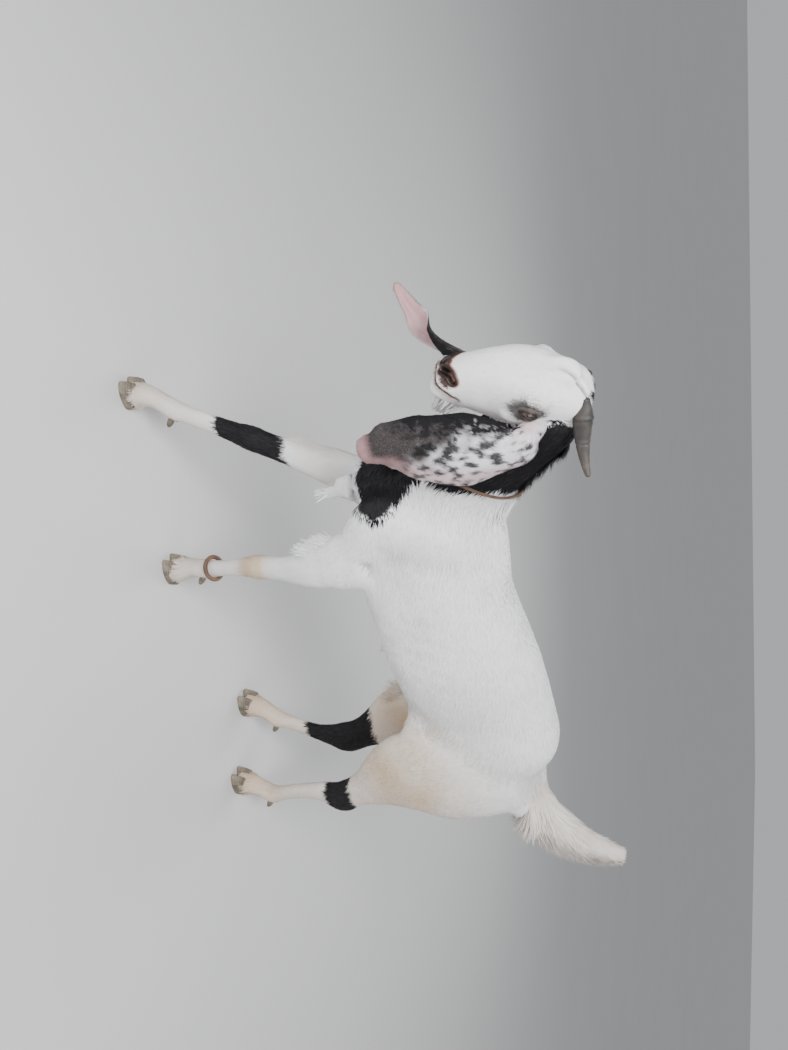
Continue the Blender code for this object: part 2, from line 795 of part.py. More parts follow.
def socketed_head(head):
    """The head with its lids, eye sockets, nostrils and the line of its mouth."""
    additions, cuts = [], []
    for turn in SIDES.values():
        eye = eye_place(turn)
        additions += [lid(turn, 1), lid(turn, -1)]
        cuts.append(blob(eye, [EYE_RADIUS + 3 * GAP] * 3, segments=16))
        nostril = [
            Section(in_head(-turn * 0.0065, 0.249, 0.007), 0.0018, 0.0022, 0.0022),
            Section(in_head(-turn * 0.0100, 0.235, 0.015), 0.0024, 0.0034, 0.0034),
            Section(in_head(-turn * 0.0190, 0.227, 0.023), 0.0026, 0.0036, 0.0036),
            Section(in_head(-turn * 0.0290, 0.221, 0.028), 0.0018, 0.0022, 0.0022),
        ]
        cuts.append(loft(nostril, HEAD_AXES.col[2], steps=2, count=8))
    return largest(combine(fused(head, additions), [*cuts, mouth_blade()], "DIFFERENCE"))


def eye_place(turn):
    """The centre of the left or right eyeball."""
    return in_head(-turn * 0.0555, 0.072, 0.017)


def lid(turn, rise):
    """One eyelid, a crescent over the ball from corner to corner."""
    eye = eye_place(turn)
    outward = in_head(-turn * 1.0, 0, 0.28) - in_head(0, 0, 0)
    outward.normalize()
    along = (in_head(0, 0.98, 0.20) - in_head(0, 0, 0)).normalized()
    along = (along - outward * along.dot(outward)).normalized()
    above = outward.cross(along)
    above *= math.copysign(1, above.dot(HEAD_AXES.col[2])) * rise
    sections, uprights = [], []
    count = 8
    for i in range(count):
        sweep = (i / (count - 1) - 0.5) * math.radians(160)
        bow = math.radians(34 if rise > 0 else 30) * math.cos(sweep) ** 0.8
        spoke = outward * math.cos(sweep) + along * math.sin(sweep)
        spoke = spoke * math.cos(bow) + above * math.sin(bow)
        thick = 0.0026 + 0.0012 * math.cos(sweep)
        sections.append(Section(eye + spoke * (EYE_RADIUS + 0.0012), 0.0030, thick, thick))
        uprights.append(spoke)
    return loft_mesh(sections, uprights, 6)


def mouth_blade():
    """A thin curved blade that cuts the line between the lips."""
    sections, uprights = [], []
    count = 17
    for i in range(count):
        sweep = (i / (count - 1) - 0.5) * 2
        back = abs(sweep) ** 1.6
        point = in_head(0.033 * math.sin(sweep * 1.45), 0.244 - 0.056 * back, -0.007 + 0.006 * back)
        centre = in_head(0, 0.205, -0.004)
        sections.append(Section(point, 0.0009, 0.010, 0.007 - 0.004 * abs(sweep)))
        uprights.append((point - centre).normalized())
    return loft_mesh(sections, uprights, 6)


def ear_axes(side):
    """Where an ear starts, and the points that its middle line runs through."""
    if side == "left":
        root = in_head(-0.042, 0.054, -0.030)
        run = (
            at(0.838, 0.114, 0.886),
            at(0.824, 0.131, 0.862),
            at(0.825, 0.139, 0.790),
            at(0.829, 0.138, 0.730),
            at(0.836, 0.133, 0.670),
            at(0.830, 0.128, 0.630),
            at(0.824, 0.125, 0.604),
        )
        faces = (
            at(-0.15, 1.0, 0.3),
            at(-0.10, 1.0, 0.2),
            at(0.10, 1.0, 0.1),
            at(0.15, 1.0, 0.0),
            at(0.15, 1.0, 0.0),
            at(0.10, 1.0, 0.0),
            at(0.10, 1.0, 0.0),
        )
    else:
        root = in_head(0.042, 0.046, -0.028)
        run = (
            in_head(0.064, 0.056, -0.034),
            at(0.903, -0.016, 0.820),
            at(0.912, -0.036, 0.757),
            at(0.950, -0.056, 0.692),
            at(0.998, -0.074, 0.657),
            at(1.040, -0.088, 0.630),
        )
        faces = (
            at(0.5, -0.84, 0.3),
            at(0.9, -0.4, 0.2),
            at(0.95, -0.3, 0.1),
            at(0.8, -0.6, -0.2),
            at(0.6, -0.75, -0.5),
            at(0.4, -0.8, -0.6),
        )
    return root, run, faces


def ear_shell(side):
    """A long hanging ear, a cupped leaf on a rolled root."""
    turn = SIDES[side]
    root, run, faces = ear_axes(side)
    steps = 2
    line = spread([root, *run], steps)
    outs = spread([faces[0], *faces], steps)
    shape = bmesh.new()
    rings = []
    across = 7
    for i, point in enumerate(line):
        share = i / (len(line) - 1)
        ahead = line[min(i + 1, len(line) - 1)] - line[max(i - 1, 0)]
        along = ahead.normalized()
        outward = outs[i].normalized() - along * outs[i].normalized().dot(along)
        outward.normalize()
        sideways = along.cross(outward) * turn
        curl = 1 - 0.35 * share if side == "right" else 1.0
        width = EAR_WIDTH * ear_width(share) * curl
        cup = math.radians(ear_cup(share))
        radius = width / (2 * math.sin(min(cup, math.pi / 2)))
        thick = EAR_THICKNESS * (1.6 - 0.8 * share)
        outer, inner = [], []
        for j in range(across):
            angle = cup * (2 * j / (across - 1) - 1)
            edge = 1 - 0.65 * abs(2 * j / (across - 1) - 1) ** 2
            spoke = outward * math.cos(angle) + sideways * math.sin(angle)
            base = point - outward * radius * 0.5 * (1 + math.cos(cup))
            outer.append(base + spoke * (radius + thick * edge / 2))
            inner.append(base + spoke * (radius - thick * edge / 2))
        rings.append([shape.verts.new(p) for p in (*outer, *inner[::-1])])
    count = len(rings[0])
    for near, far in zip(rings, rings[1:]):
        for i in range(count):
            j = (i + 1) % count
            shape.faces.new((near[i], near[j], far[j], far[i]))
    shape.faces.new(rings[0][::-1])
    shape.faces.new(rings[-1])
    bmesh.ops.triangulate(shape, faces=shape.faces)
    bmesh.ops.recalc_face_normals(shape, faces=shape.faces)
    mesh = bpy.data.meshes.new("ear")
    shape.to_mesh(mesh)
    shape.free()
    return mesh


def ear_width(share):
    """The ear's width along its length, as a share of the widest."""
    stops = (
        (0.0, 0.22),
        (0.14, 0.30),
        (0.28, 0.64),
        (0.44, 1.0),
        (0.60, 0.92),
        (0.74, 0.66),
        (0.85, 0.46),
        (0.95, 0.38),
        (1.0, 0.14),
    )
    return between(stops, share)


def ear_cup(share):
    """Half the angle that the ear's cross-section is rolled through."""
    stops = ((0.0, 140.0), (0.12, 110.0), (0.30, 62.0), (0.55, 34.0), (0.80, 26.0), (1.0, 30.0))
    return between(stops, share)


def between(stops, share):
    """A value read smoothly from stops of share and value."""
    for (low, start), (high, end) in zip(stops, stops[1:]):
        if share <= high:
            part = (share - low) / (high - low)
            return start + (end - start) * part * part * (3 - 2 * part)
    return stops[-1][1]


def horn_body(side):
    """A short horn that sweeps back and outwards from the crown."""
    turn = SIDES[side]
    start = in_head(-turn * 0.026, -0.008, 0.014)
    rooted = 0.030
    count = 12
    sections = []
    for i in range(count):
        share = i / (count - 1)
        reach = (HORN_LENGTH + rooted) * share
        splay = math.radians(30 + 14 * share)
        rise = math.radians(12 * share * share - 8) - HORN_DROOP[side]
        heading = Vector(
            (
                -turn * math.sin(splay),
                -math.sin(rise) - math.sin(HEAD_TILT),
                -math.cos(splay),
            )
        )
        point = start + HEAD_AXES @ (heading * reach)
        taper = HORN_RADIUS * (1 - 0.76 * share**1.3)
        ripple = 1 + 0.035 * math.cos(share * 2 * math.pi * 5)
        sections.append(Section(point, taper * 0.72 * ripple, taper * ripple, taper * ripple))
    tip = sections[-1]
    ahead = tip.centre - sections[-2].centre
    sections.append(Section(tip.centre + ahead * 0.35, 0.0010, 0.0010, 0.0010))
    return loft_mesh(sections, [HEAD_AXES.col[1]] * len(sections), 8)


def claw(rows, inner):
    """One of the two claws of a foot; inner is -1 or 1 for its side."""
    middle, _, rise = coronet_frame(rows)
    cleft = 0.0016
    wide = CLAW_HALF_WIDTH
    shape = bmesh.new()
    rings = []
    count = 14
    levels = (
        # share of the height, length share, width share
        (0.0, 0.94, 0.92),
        (0.10, 1.0, 1.0),
        (0.55, 0.93, 0.99),
        (1.0, 0.80, 0.95),
    )
    for share, long, broad in levels:
        ring = []
        for i in range(count):
            angle = 2 * math.pi * i / count
            forward = math.cos(angle)
            front = CLAW_LENGTH * (0.56 * long if forward > 0 else 0.44)
            reach = front * math.copysign(abs(forward) ** 0.8, forward)
            pointed = 1 - 0.45 * max(0.0, reach / front) ** 2 if forward > 0 else 1.0
            across = math.sin(angle)
            lateral = wide * broad * math.copysign(abs(across) ** 0.85, across) * pointed
            top = middle.z + rise * (reach - 0.004) - GAP
            place = at(-middle.y + reach, middle.x + inner * (wide + cleft) + lateral, top * share)
            ring.append(shape.verts.new(place))
        rings.append(ring)
    for near, far in zip(rings, rings[1:]):
        for i in range(count):
            j = (i + 1) % count
            shape.faces.new((near[i], near[j], far[j], far[i]))
    shape.faces.new(rings[0][::-1])
    shape.faces.new(rings[-1])
    bmesh.ops.triangulate(shape, faces=shape.faces)
    bmesh.ops.recalc_face_normals(shape, faces=shape.faces)
    mesh = bpy.data.meshes.new("claw")
    shape.to_mesh(mesh)
    shape.free()
    return mesh


def dewclaw(rows, inner):
    """A blunt dewclaw behind the fetlock."""
    fetlock = rows[-5]
    start = at(fetlock[0] - fetlock[4] * 0.55, fetlock[1] + inner * 0.010, fetlock[2] - 0.002)
    push = at(-1.0, inner * 0.25, -0.85).normalized()
    sections = [
        Section(start, 0.0065, 0.0070, 0.0070),
        Section(start + push * 0.010, 0.0068, 0.0072, 0.0072),
        Section(start + push * 0.019, 0.0055, 0.0055, 0.0055),
        Section(start + push * 0.024, 0.0022, 0.0022, 0.0022),
    ]
    return loft_mesh(sections, [UP] * len(sections), 8)


def lock(root, lie, out, length, width, lift, thick=0.0030):
    """A flat tapered lock of hair that bends along its lie."""
    along = lie.normalized()
    outward = (out - along * out.dot(along)).normalized()
    sideways = along.cross(outward)
    shape = bmesh.new()
    rings = []
    stations = ((-0.16, 0.75), (0.20, 1.0), (0.68, 0.72))
    for share, broad in stations:
        rise = lift * length * math.sin(max(share, 0) * math.pi) - 0.004 * (share < 0)
        centre = root + along * length * share + outward * rise
        half, deep = width * broad / 2, thick * broad / 2
        corners = (sideways * half, outward * deep, -sideways * half, -outward * deep)
        rings.append([shape.verts.new(centre + corner) for corner in corners])
    tip = shape.verts.new(root + along * length)
    for near, far in zip(rings, rings[1:]):
        for i in range(4):
            j = (i + 1) % 4
            shape.faces.new((near[i], near[j], far[j], far[i]))
    for i in range(4):
        shape.faces.new((rings[-1][i], rings[-1][(i + 1) % 4], tip))
    shape.faces.new(rings[0][::-1])
    bmesh.ops.triangulate(shape, faces=shape.faces)
    bmesh.ops.recalc_face_normals(shape, faces=shape.faces)
    mesh = bpy.data.meshes.new("lock")
    shape.to_mesh(mesh)
    shape.free()
    return mesh


FRINGE_LENGTH = 0.028
FRINGES = {
    # forward, left and up of the roots, from the top down
    "foreleg_left_upper": (
        (0.640, 0.078, 0.462),
        (0.628, 0.078, 0.436),
        (0.610, 0.076, 0.408),
    ),
    "foreleg_right_upper": (
        (0.746, -0.062, 0.452),
        (0.760, -0.060, 0.424),
        (0.772, -0.058, 0.394),
    ),
    "hindleg_right_upper": (
        (0.176, -0.070, 0.488),
        (0.158, -0.070, 0.462),
        (0.138, -0.070, 0.436),
    ),
}


def tail_locks(tail, draw):
    """The plume of the tail, in rows of locks that lie towards its tip."""
    tree = surface_of(tail)
    line = spread([at(forward, 0, up) for forward, up, _, _ in TAIL_ROWS[2:]], 2)
    locks = []
    rows = len(line) - 1
    for row in range(1, rows):
        share = row / (rows - 1)
        along = (line[row + 1] - line[row]).normalized()
        under = along.cross(at(0, 1, 0)).normalized()
        under *= math.copysign(1, -under.z - 0.5 * FORWARD.dot(under))
        around = 6 if share < 0.7 else 4
        for turn in range(around):
            angle = 2 * math.pi * (turn + 0.5 * (row % 2)) / around
            spoke = under * math.cos(angle) + at(0, 1, 0) * math.sin(angle)
            hit = tree.ray_cast(line[row] + along * 0.004 - spoke * 0.001, spoke, 0.06)
            if hit[0] is None or hit[1].dot(spoke) < 0.6:
                continue
            hang = max(0.0, math.cos(angle)) * (1 - 0.75 * share)
            length = (0.060 - 0.014 * share + 0.020 * hang) * draw.uniform(0.9, 1.1)
            lie = along + spoke * (0.10 + 0.50 * hang) + at(0, draw.uniform(-0.05, 0.05), 0)
            width = (0.034 - 0.014 * share) * draw.uniform(0.9, 1.1)
            locks.append(lock(hit[0] - spoke * 0.004, lie, spoke, length, width, 0.14, 0.0090))
    return locks


def crest_locks(neck, draw):
    """The short bristly mane along the top of the neck."""
    tree = surface_of(neck)
    line = spread([at(row[0], row[1], row[2]) for row in NECK_ROWS[2:]], 4)
    locks = []
    for i in range(3, len(line) - 4):
        point, along = line[i], (line[i + 1] - line[i]).normalized()
        for left in (-0.009, 0.009):
            across = at(0, 1, 0)
            crest = (UP - along * along.z).normalized()
            spoke = (crest + across * left * 12).normalized()
            hit = tree.ray_cast(point, spoke, 0.2)
            if hit[0] is None or hit[1].dot(spoke) < 0.6:
                continue
            length = 0.030 * draw.uniform(0.85, 1.15)
            lie = crest * 0.55 - along * 0.9 + across * (left * 10 + draw.uniform(-0.1, 0.1))
            locks.append(lock(hit[0] - spoke * 0.004, lie, crest, length, 0.019, 0.06, 0.0036))
    return locks


def tuft(mesh, root, lie, spread_angle, count, length, width, draw):
    """A bunch of locks that hang from one place."""
    tree = surface_of(mesh)
    side = lie.cross(FORWARD).normalized()
    locks = []
    for i in range(count):
        angle = 2 * math.pi * i / count
        offset = (side * math.cos(angle) + side.cross(lie).normalized() * math.sin(angle)) * width * 0.55
        near = tree.find_nearest(root + offset)
        lean = lie + offset.normalized() * spread_angle
        size = length * (0.8 + 0.35 * draw.random())
        locks.append(lock(near[0] - near[1] * 0.003, lean, offset.normalized(), size, width, 0.0))
    return locks


def fringe(mesh, stops, lie, length, width, draw):
    """A row of overlapping locks rooted along a line on the surface."""
    tree = surface_of(mesh)
    locks = []
    for stop in spread(stops, 2):
        near = tree.find_nearest(stop)
        lean = lie.normalized() + near[1] * 0.30 + at(0, draw.uniform(-0.10, 0.10), 0)
        size = length * draw.uniform(0.8, 1.15)
        locks.append(lock(near[0] - near[1] * 0.003, lean, near[1], size, width, 0.10, 0.0045))
    return locks


def long_hair(nodes, draw):
    """The locks of chin, tail, crest, brisket, sheath, elbows and stifle, each on its node."""
    drop = in_head(0, 0.62, -0.78) - in_head(0, 0, 0)
    hair = {
        "head": tuft(nodes["head"], in_head(0, 0.205, -0.032), drop, 0.15, 6, 0.030, 0.012, draw),
        "tail": tail_locks(nodes["tail"], draw),
        "neck": crest_locks(nodes["neck"], draw),
    }
    torso = nodes["torso"]
    hair["torso"] = tuft(torso, at(0.694, 0.0, 0.460), at(-0.12, 0, -1), 0.22, 7, 0.034, 0.020, draw)
    hair["torso"] += tuft(torso, at(0.324, 0.0, 0.500), at(0.25, 0, -1), 0.25, 5, 0.030, 0.014, draw)
    for name, stops in FRINGES.items():
        points = [at(*stop) for stop in stops]
        hair[name] = fringe(nodes[name], points, at(0.12, 0, -1), FRINGE_LENGTH, 0.016, draw)
    return hair


def collar_ring(neck, torso):
    """A thin cord that lies round the base of the neck."""
    trees = [surface_of(neck), surface_of(torso)]
    middle = at(0.742, 0.010, 0.742)
    normal = at(0.80, 0.05, 0.42).normalized()
    side = normal.cross(UP).normalized()
    up = side.cross(normal).normalized()
    points = []
    count = 40
    for i in range(count):
        angle = 2 * math.pi * i / count
        spoke = side * math.cos(angle) + up * math.sin(angle)
        reach = 0.0
        for tree in trees:
            start = middle + spoke * 0.3
            hit = tree.ray_cast(start, -spoke, 0.3)
            if hit[0] is not None:
                reach = max(reach, (hit[0] - middle).length)
        points.append((spoke, reach))
    high = [max(points[(i + k) % count][1] for k in (-2, -1, 0, 1, 2)) for i in range(count)]
    loose = [sum(high[(i + k) % count] for k in (-2, -1, 0, 1, 2)) / 5 for i in range(count)]
    path = []
    for (spoke, reach), slack in zip(points, loose):
        path.append(middle + spoke * (max(reach, slack) + COLLAR_RADIUS + 0.0010))
    return ring_tube(path, normal, COLLAR_RADIUS, 5)


def ring_tube(path, normal, radius, sides):
    """A closed round tube along a closed path."""
    shape = bmesh.new()
    rings = []
    count = len(path)
    for i, point in enumerate(path):
        along = (path[(i + 1) % count] - path[i - 1]).normalized()
        out = along.cross(normal).normalized()
        ring = []
        for j in range(sides):
            angle = 2 * math.pi * j / sides
            ring.append(shape.verts.new(point + (out * math.cos(angle) + normal * math.sin(angle)) * radius))
        rings.append(ring)
    for i in range(count):
        near, far = rings[i], rings[(i + 1) % count]
        for j in range(sides):
            k = (j + 1) % sides
            shape.faces.new((near[j], near[k], far[k], far[j]))
    bmesh.ops.triangulate(shape, faces=shape.faces)
    bmesh.ops.recalc_face_normals(shape, faces=shape.faces)
    mesh = bpy.data.meshes.new("ring")
    shape.to_mesh(mesh)
    shape.free()
    return mesh


def anklet_ring():
    """The loose ring that hangs on the left fore fetlock."""
    centre = at(0.530, 0.022, 0.133)
    normal = at(0.22, 0.10, 1.0).normalized()
    side = normal.cross(FORWARD).normalized()
    front = side.cross(normal).normalized()
    count = 24
    path = []
    for i in range(count):
        angle = 2 * math.pi * i / count
        path.append(centre + (side * math.cos(angle) + front * math.sin(angle)) * ANKLET_RADIUS)
    return ring_tube(path, normal, ANKLET_THICKNESS, 7)


def build():
    """Build every node of the goat."""
    clear_scene()
    draw = random.Random(SEED)
    nodes = parted_flesh(thinned_flesh(grown_flesh()))
    finishes = {name: COAT for name in nodes}
    finishes["neck"] = DARK_COAT
    nodes["head"] = socketed_head(nodes["head"])
    for name, locks in long_hair(nodes, draw).items():
        nodes[name] = fused(nodes[name], locks)
    for side, turn in SIDES.items():
        nodes[f"eye_{side}"] = blob(eye_place(turn), [EYE_RADIUS] * 3, segments=14)
        finishes[f"eye_{side}"] = EYE_GLOSS
        nodes[f"horn_{side}"] = fitted(horn_body(side), [nodes["head"], nodes["neck"]])
        finishes[f"horn_{side}"] = HORN
        nodes[f"ear_{side}"] = fitted(ear_shell(side), [nodes["head"], nodes["neck"], nodes[f"horn_{side}"]])
        finishes[f"ear_{side}"] = EAR_SKIN
        for kind, table in LEGS.items():
            for inner, place in ((-turn, "inner"), (turn, "outer")):
                hoof = f"hoof_{kind}_{side}_{place}"
                nodes[hoof] = claw(table[side], inner)
                spur = f"dewclaw_{kind}_{side}_{place}"
                nodes[spur] = fitted(dewclaw(table[side], inner), [nodes[f"{kind}_{side}_lower"]])
                finishes[hoof] = finishes[spur] = HOOF
    nodes["collar"] = fitted(collar_ring(nodes["neck"], nodes["torso"]), [nodes["neck"], nodes["torso"]])
    finishes["collar"] = CORD
    nodes["anklet"] = fitted(anklet_ring(), [nodes["foreleg_left_lower"]])
    finishes["anklet"] = BAND
    shift = centre_on_floor(nodes)
    for name, mesh in nodes.items():
        mesh.materials.clear()
        mesh.name = name
        made = add_object(name, mesh, finishes[name])
        made.data.shade_flat()
    return shift


def centre_on_floor(nodes):
    """Put the middle of the goat's box over the origin."""
    points = [vert.co for mesh in nodes.values() for vert in mesh.vertices]
    low = Vector(min(point[i] for point in points) for i in range(3))
    high = Vector(max(point[i] for point in points) for i in range(3))
    shift = -Vector(((low.x + high.x) / 2, (low.y + high.y) / 2, low.z))
    for mesh in nodes.values():
        mesh.transform(Matrix.Translation(shift))
    return shift


build()
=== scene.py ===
"""The looks of a life-size standing goat: its skin, coat, horns, claws and the two bands it wears."""

import logging
import math
from dataclasses import dataclass, field
from enum import Enum
from typing import Callable, Sequence

import bmesh
import bpy
import numpy as np
from mathutils import Matrix, Vector, noise
from mathutils.bvhtree import BVHTree
from mathutils.kdtree import KDTree


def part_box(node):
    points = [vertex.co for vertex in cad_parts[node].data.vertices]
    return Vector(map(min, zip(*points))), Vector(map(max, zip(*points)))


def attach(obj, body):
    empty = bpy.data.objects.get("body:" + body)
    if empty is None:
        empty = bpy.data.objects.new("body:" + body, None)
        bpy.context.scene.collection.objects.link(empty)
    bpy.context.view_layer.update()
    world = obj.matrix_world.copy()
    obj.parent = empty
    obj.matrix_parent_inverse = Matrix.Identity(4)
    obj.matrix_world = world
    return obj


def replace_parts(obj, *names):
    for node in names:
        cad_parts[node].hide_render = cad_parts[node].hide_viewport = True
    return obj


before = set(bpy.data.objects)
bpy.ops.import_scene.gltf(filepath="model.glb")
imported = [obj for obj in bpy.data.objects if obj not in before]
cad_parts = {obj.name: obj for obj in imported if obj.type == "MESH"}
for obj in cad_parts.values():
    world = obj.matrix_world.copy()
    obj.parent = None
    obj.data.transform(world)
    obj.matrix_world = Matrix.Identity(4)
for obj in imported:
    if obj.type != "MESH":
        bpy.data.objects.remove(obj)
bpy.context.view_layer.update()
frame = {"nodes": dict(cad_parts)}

LOG = logging.getLogger("goat")

Row = tuple[float, ...]
Array = np.ndarray
Draw = np.random.Generator
Shape = bmesh.types.BMesh
Mesh = bpy.types.Mesh
Material = bpy.types.Material


def at(forward: float, left: float, up: float) -> Vector:
    """A point or direction given by how far forward, left and up it is.

    Args:
        forward: Distance ahead of the hind feet, in metres.
        left: Distance to the goat's own left.
        up: Height over the floor.

    Returns:
        The point in the goat's own space, before it is set over the origin.
    """
    return Vector((left, -forward, up))


FORWARD = at(1, 0, 0)
LEFT = at(0, 1, 0)
UP = at(0, 0, 1)
SIDES = {"left": 1, "right": -1}


class Region(Enum):
    """A part of the body with its own run of the coat."""

    TRUNK = 0
    NECK = 1
    HEAD = 2
    FORE_LEFT = 3
    FORE_RIGHT = 4
    HIND_LEFT = 5
    HIND_RIGHT = 6
    TAIL = 7
    SCROTUM = 8


@dataclass(frozen=True)
class HeadSpace:
    """The head's own space: X to its right, Y down the face and Z out of the nose bridge."""

    turn: float = math.radians(33)
    tilt: float = math.radians(18)
    poll: Row = (0.870, 0.051, 0.946)
    length: float = 0.247
    drawn_length: float = 0.271

    @property
    def scale(self) -> float:
        """How much smaller the head is than it was drawn."""
        return self.length / self.drawn_length

    def matrix(self) -> Matrix:
        """The turn and place of the head in the goat's space."""
        facing = at(math.cos(self.turn), math.sin(self.turn), 0)
        down_face = facing * math.sin(self.tilt) - UP * math.cos(self.tilt)
        bridge = facing * math.cos(self.tilt) + UP * math.sin(self.tilt)
        right = down_face.cross(bridge)
        axes = Matrix((right, down_face, bridge)).transposed().to_4x4()
        return Matrix.Translation(at(*self.poll)) @ axes


SKULL = HeadSpace()
HEAD = SKULL.matrix()
HEAD_AXES = HEAD.to_3x3()


def in_head(right: float, down: float, out: float) -> Vector:
    """A point given in the head's own space.

    Args:
        right: Distance to the head's right.
        down: Distance down the face from the poll.
        out: Distance out of the nose bridge.

    Returns:
        The point in the goat's space.
    """
    return HEAD @ (Vector((right, down, out)) * SKULL.scale)


def to_head(points: Array) -> Array:
    """Points as rows of how far right, down the face and out they are, at the size the head was drawn."""
    inverse = np.array(HEAD.inverted())
    return (points @ inverse[:3, :3].T + inverse[:3, 3]) / SKULL.scale


def bell(*terms: tuple[Array, float, float]) -> Array:
    """A smooth hump with its top at 1.

    Args:
        terms: Values, each with the hump's middle and width along them.

    Returns:
        The hump's height at each point.
    """
    return np.exp(-sum(((values - middle) / width) ** 2 for values, middle, width in terms))


def metres(*rows: Row) -> tuple[Row, ...]:
    """Rows of lengths given in millimetres, in metres."""
    return tuple(tuple(value / 1000 for value in row) for row in rows)


def mouth_line(down: Array) -> Array:
    """How far out of the bridge the line between the lips runs, by the way down the face."""
    return -0.004 + 0.65 * np.clip(down - 0.188, 0, 0.050)


NOSTRIL = ((0.0085, 0.218, 0.0350), (0.0140, 0.212, 0.0390), (0.0215, 0.205, 0.0400), (0.0290, 0.200, 0.0350))


def nostril_reach(head: Array, turn: int) -> Array:
    """How far points in head space are from the middle line of one nostril."""
    mirrored = head * (-turn, 1, 1)
    track = spread([Vector(stop) for stop in NOSTRIL], 6)
    return np.min([np.linalg.norm(mirrored - np.array(stop), axis=1) for stop in track], axis=0)


def along_head(right: float, down: float, out: float) -> Vector:
    """A direction given in the head's own space."""
    return (HEAD_AXES @ Vector((right, down, out))).normalized()


def eye_place(turn: int) -> Vector:
    """The centre of the left (1) or right (-1) eyeball."""
    return in_head(-turn * 0.0555, 0.072, 0.017)


def box_middle(node: str) -> Vector:
    """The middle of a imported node's box."""
    low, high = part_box(node)
    return (low + high) / 2


SHIFT = box_middle("eye_left") - eye_place(1)


@dataclass(frozen=True)
class EyeSocket:
    """The lids and the almond opening over one eyeball."""

    turn: int
    ball: float = 0.0135
    lid: float = 0.0013
    half_width: float = 0.0120
    top: float = 0.0070
    bottom: float = 0.0052
    bend_share: float = 0.85
    flare: float = 1.61
    blend: float = 0.0025
    pressed: float = 0.0035

    def axes(self) -> tuple[Vector, Vector, Vector]:
        """Directions towards the nose, over the upper lid and out of the head."""
        outward = along_head(-self.turn, 0, 0.28)
        along = along_head(0, 0.98, 0.20)
        along = (along - outward * along.dot(outward)).normalized()
        above = outward.cross(along)
        return along, above * math.copysign(1, above.dot(HEAD_AXES.col[2])), outward

    def local(self, points: Array) -> Array:
        """Points in the socket's own space, as rows of nose, upper lid and outward distances."""
        return (points - np.array(eye_place(self.turn))) @ np.array(self.axes()).T

    def margin(self, points: Array) -> Array:
        """Distance of each point outside the opening's edge, negative in the opening."""
        nose, above, depth = self.local(points).T
        high = np.where(above > 0, self.top, self.bottom)
        wide = np.abs(nose) / self.half_width
        tall = np.abs(above) / high
        level = wide**2.2 + tall**1.2 - 1
        slope = np.hypot(2.2 * wide**1.2 / self.half_width, 1.2 * (tall + 0.02) ** 0.2 / high)
        return np.where(depth > -0.022, level / slope, 1.0)

    def shape(self, points: Array) -> Array:
        """Draw the skin over the eyeball as lids, with the opening pressed in.

        Args:
            points: The skin's points.

        Returns:
            The moved points.
        """
        nose, above, depth = self.local(points).T
        reach = np.hypot(nose, above)
        radius = self.ball + self.lid
        bend = self.bend_share * radius
        cap = np.sqrt(np.maximum(radius**2 - np.minimum(reach, bend) ** 2, 0))
        cap -= self.flare * np.maximum(reach - bend, 0)
        margin = self.margin(points)
        creases = 0.0007 * bell((margin, 0.0010, 0.0009))
        creases -= 0.0010 * bell((margin, 0.0060, 0.0013)) * (above > 0)
        creases -= 0.0006 * bell((margin, 0.0050, 0.0013)) * (above < 0)
        gap = depth - cap
        over = (depth + cap + np.sqrt(gap**2 + self.blend**2)) / 2 + creases
        inside = np.sqrt(np.maximum((self.ball - self.pressed) ** 2 - reach**2, 0)) - 0.001
        share = blur_step(margin, -0.0003, 0.0009)
        wanted = inside + (over - inside) * share
        near = (reach < 0.030) & (depth > -0.012)
        fade = 1 - blur_step(reach, 0.025, 0.008)
        moved = np.where(near, (wanted - depth) * fade, 0.0)
        return points + np.array(self.axes()[2]) * moved[:, None]


SOCKETS = (EyeSocket(1), EyeSocket(-1))


@dataclass
class Section:
    """One cross-section of a loft: its centre, half sizes and roundness."""

    centre: Vector
    side: float
    up: float
    down: float
    square: float = 1.0
    lean: float = 0.0


def between(stops: Sequence[Row], share: float) -> float:
    """A value read smoothly from stops.

    Args:
        stops: Pairs of a share and its value.
        share: Where the value is read.

    Returns:
        The value there.
    """
    for (low, start), (high, end) in zip(stops, stops[1:]):
        if share <= high:
            part = (share - low) / (high - low)
            return start + (end - start) * part * part * (3 - 2 * part)
    return stops[-1][1]


def spline(before: float, start: float, end: float, after: float, share: float) -> float:
    """Catmull-Rom value between start and end."""
    square, cube = share * share, share * share * share
    return 0.5 * (
        2 * start
        + (end - before) * share
        + (2 * before - 5 * start + 4 * end - after) * square
        + (3 * start - before - 3 * end + after) * cube
    )


def spread(values: Sequence, steps: int) -> list:
    """The values with smooth ones put between them.

    Args:
        values: Numbers or vectors.
        steps: How many steps each gap is cut into.

    Returns:
        The longer list.
    """
    padded = [values[0], *values, values[-1]]
    made = []
    for i in range(1, len(padded) - 2):
        for step in range(steps):
            made.append(spline(*padded[i - 1 : i + 3], step / steps))
    return [*made, values[-1]]


def finer(sections: Sequence[Section], steps: int) -> list[Section]:
    """The sections with smooth ones put between them."""
    columns = [
        spread([getattr(section, name) for section in sections], steps)
        for name in ("centre", "side", "up", "down", "square", "lean")
    ]
    return [Section(*row) for row in zip(*columns)]


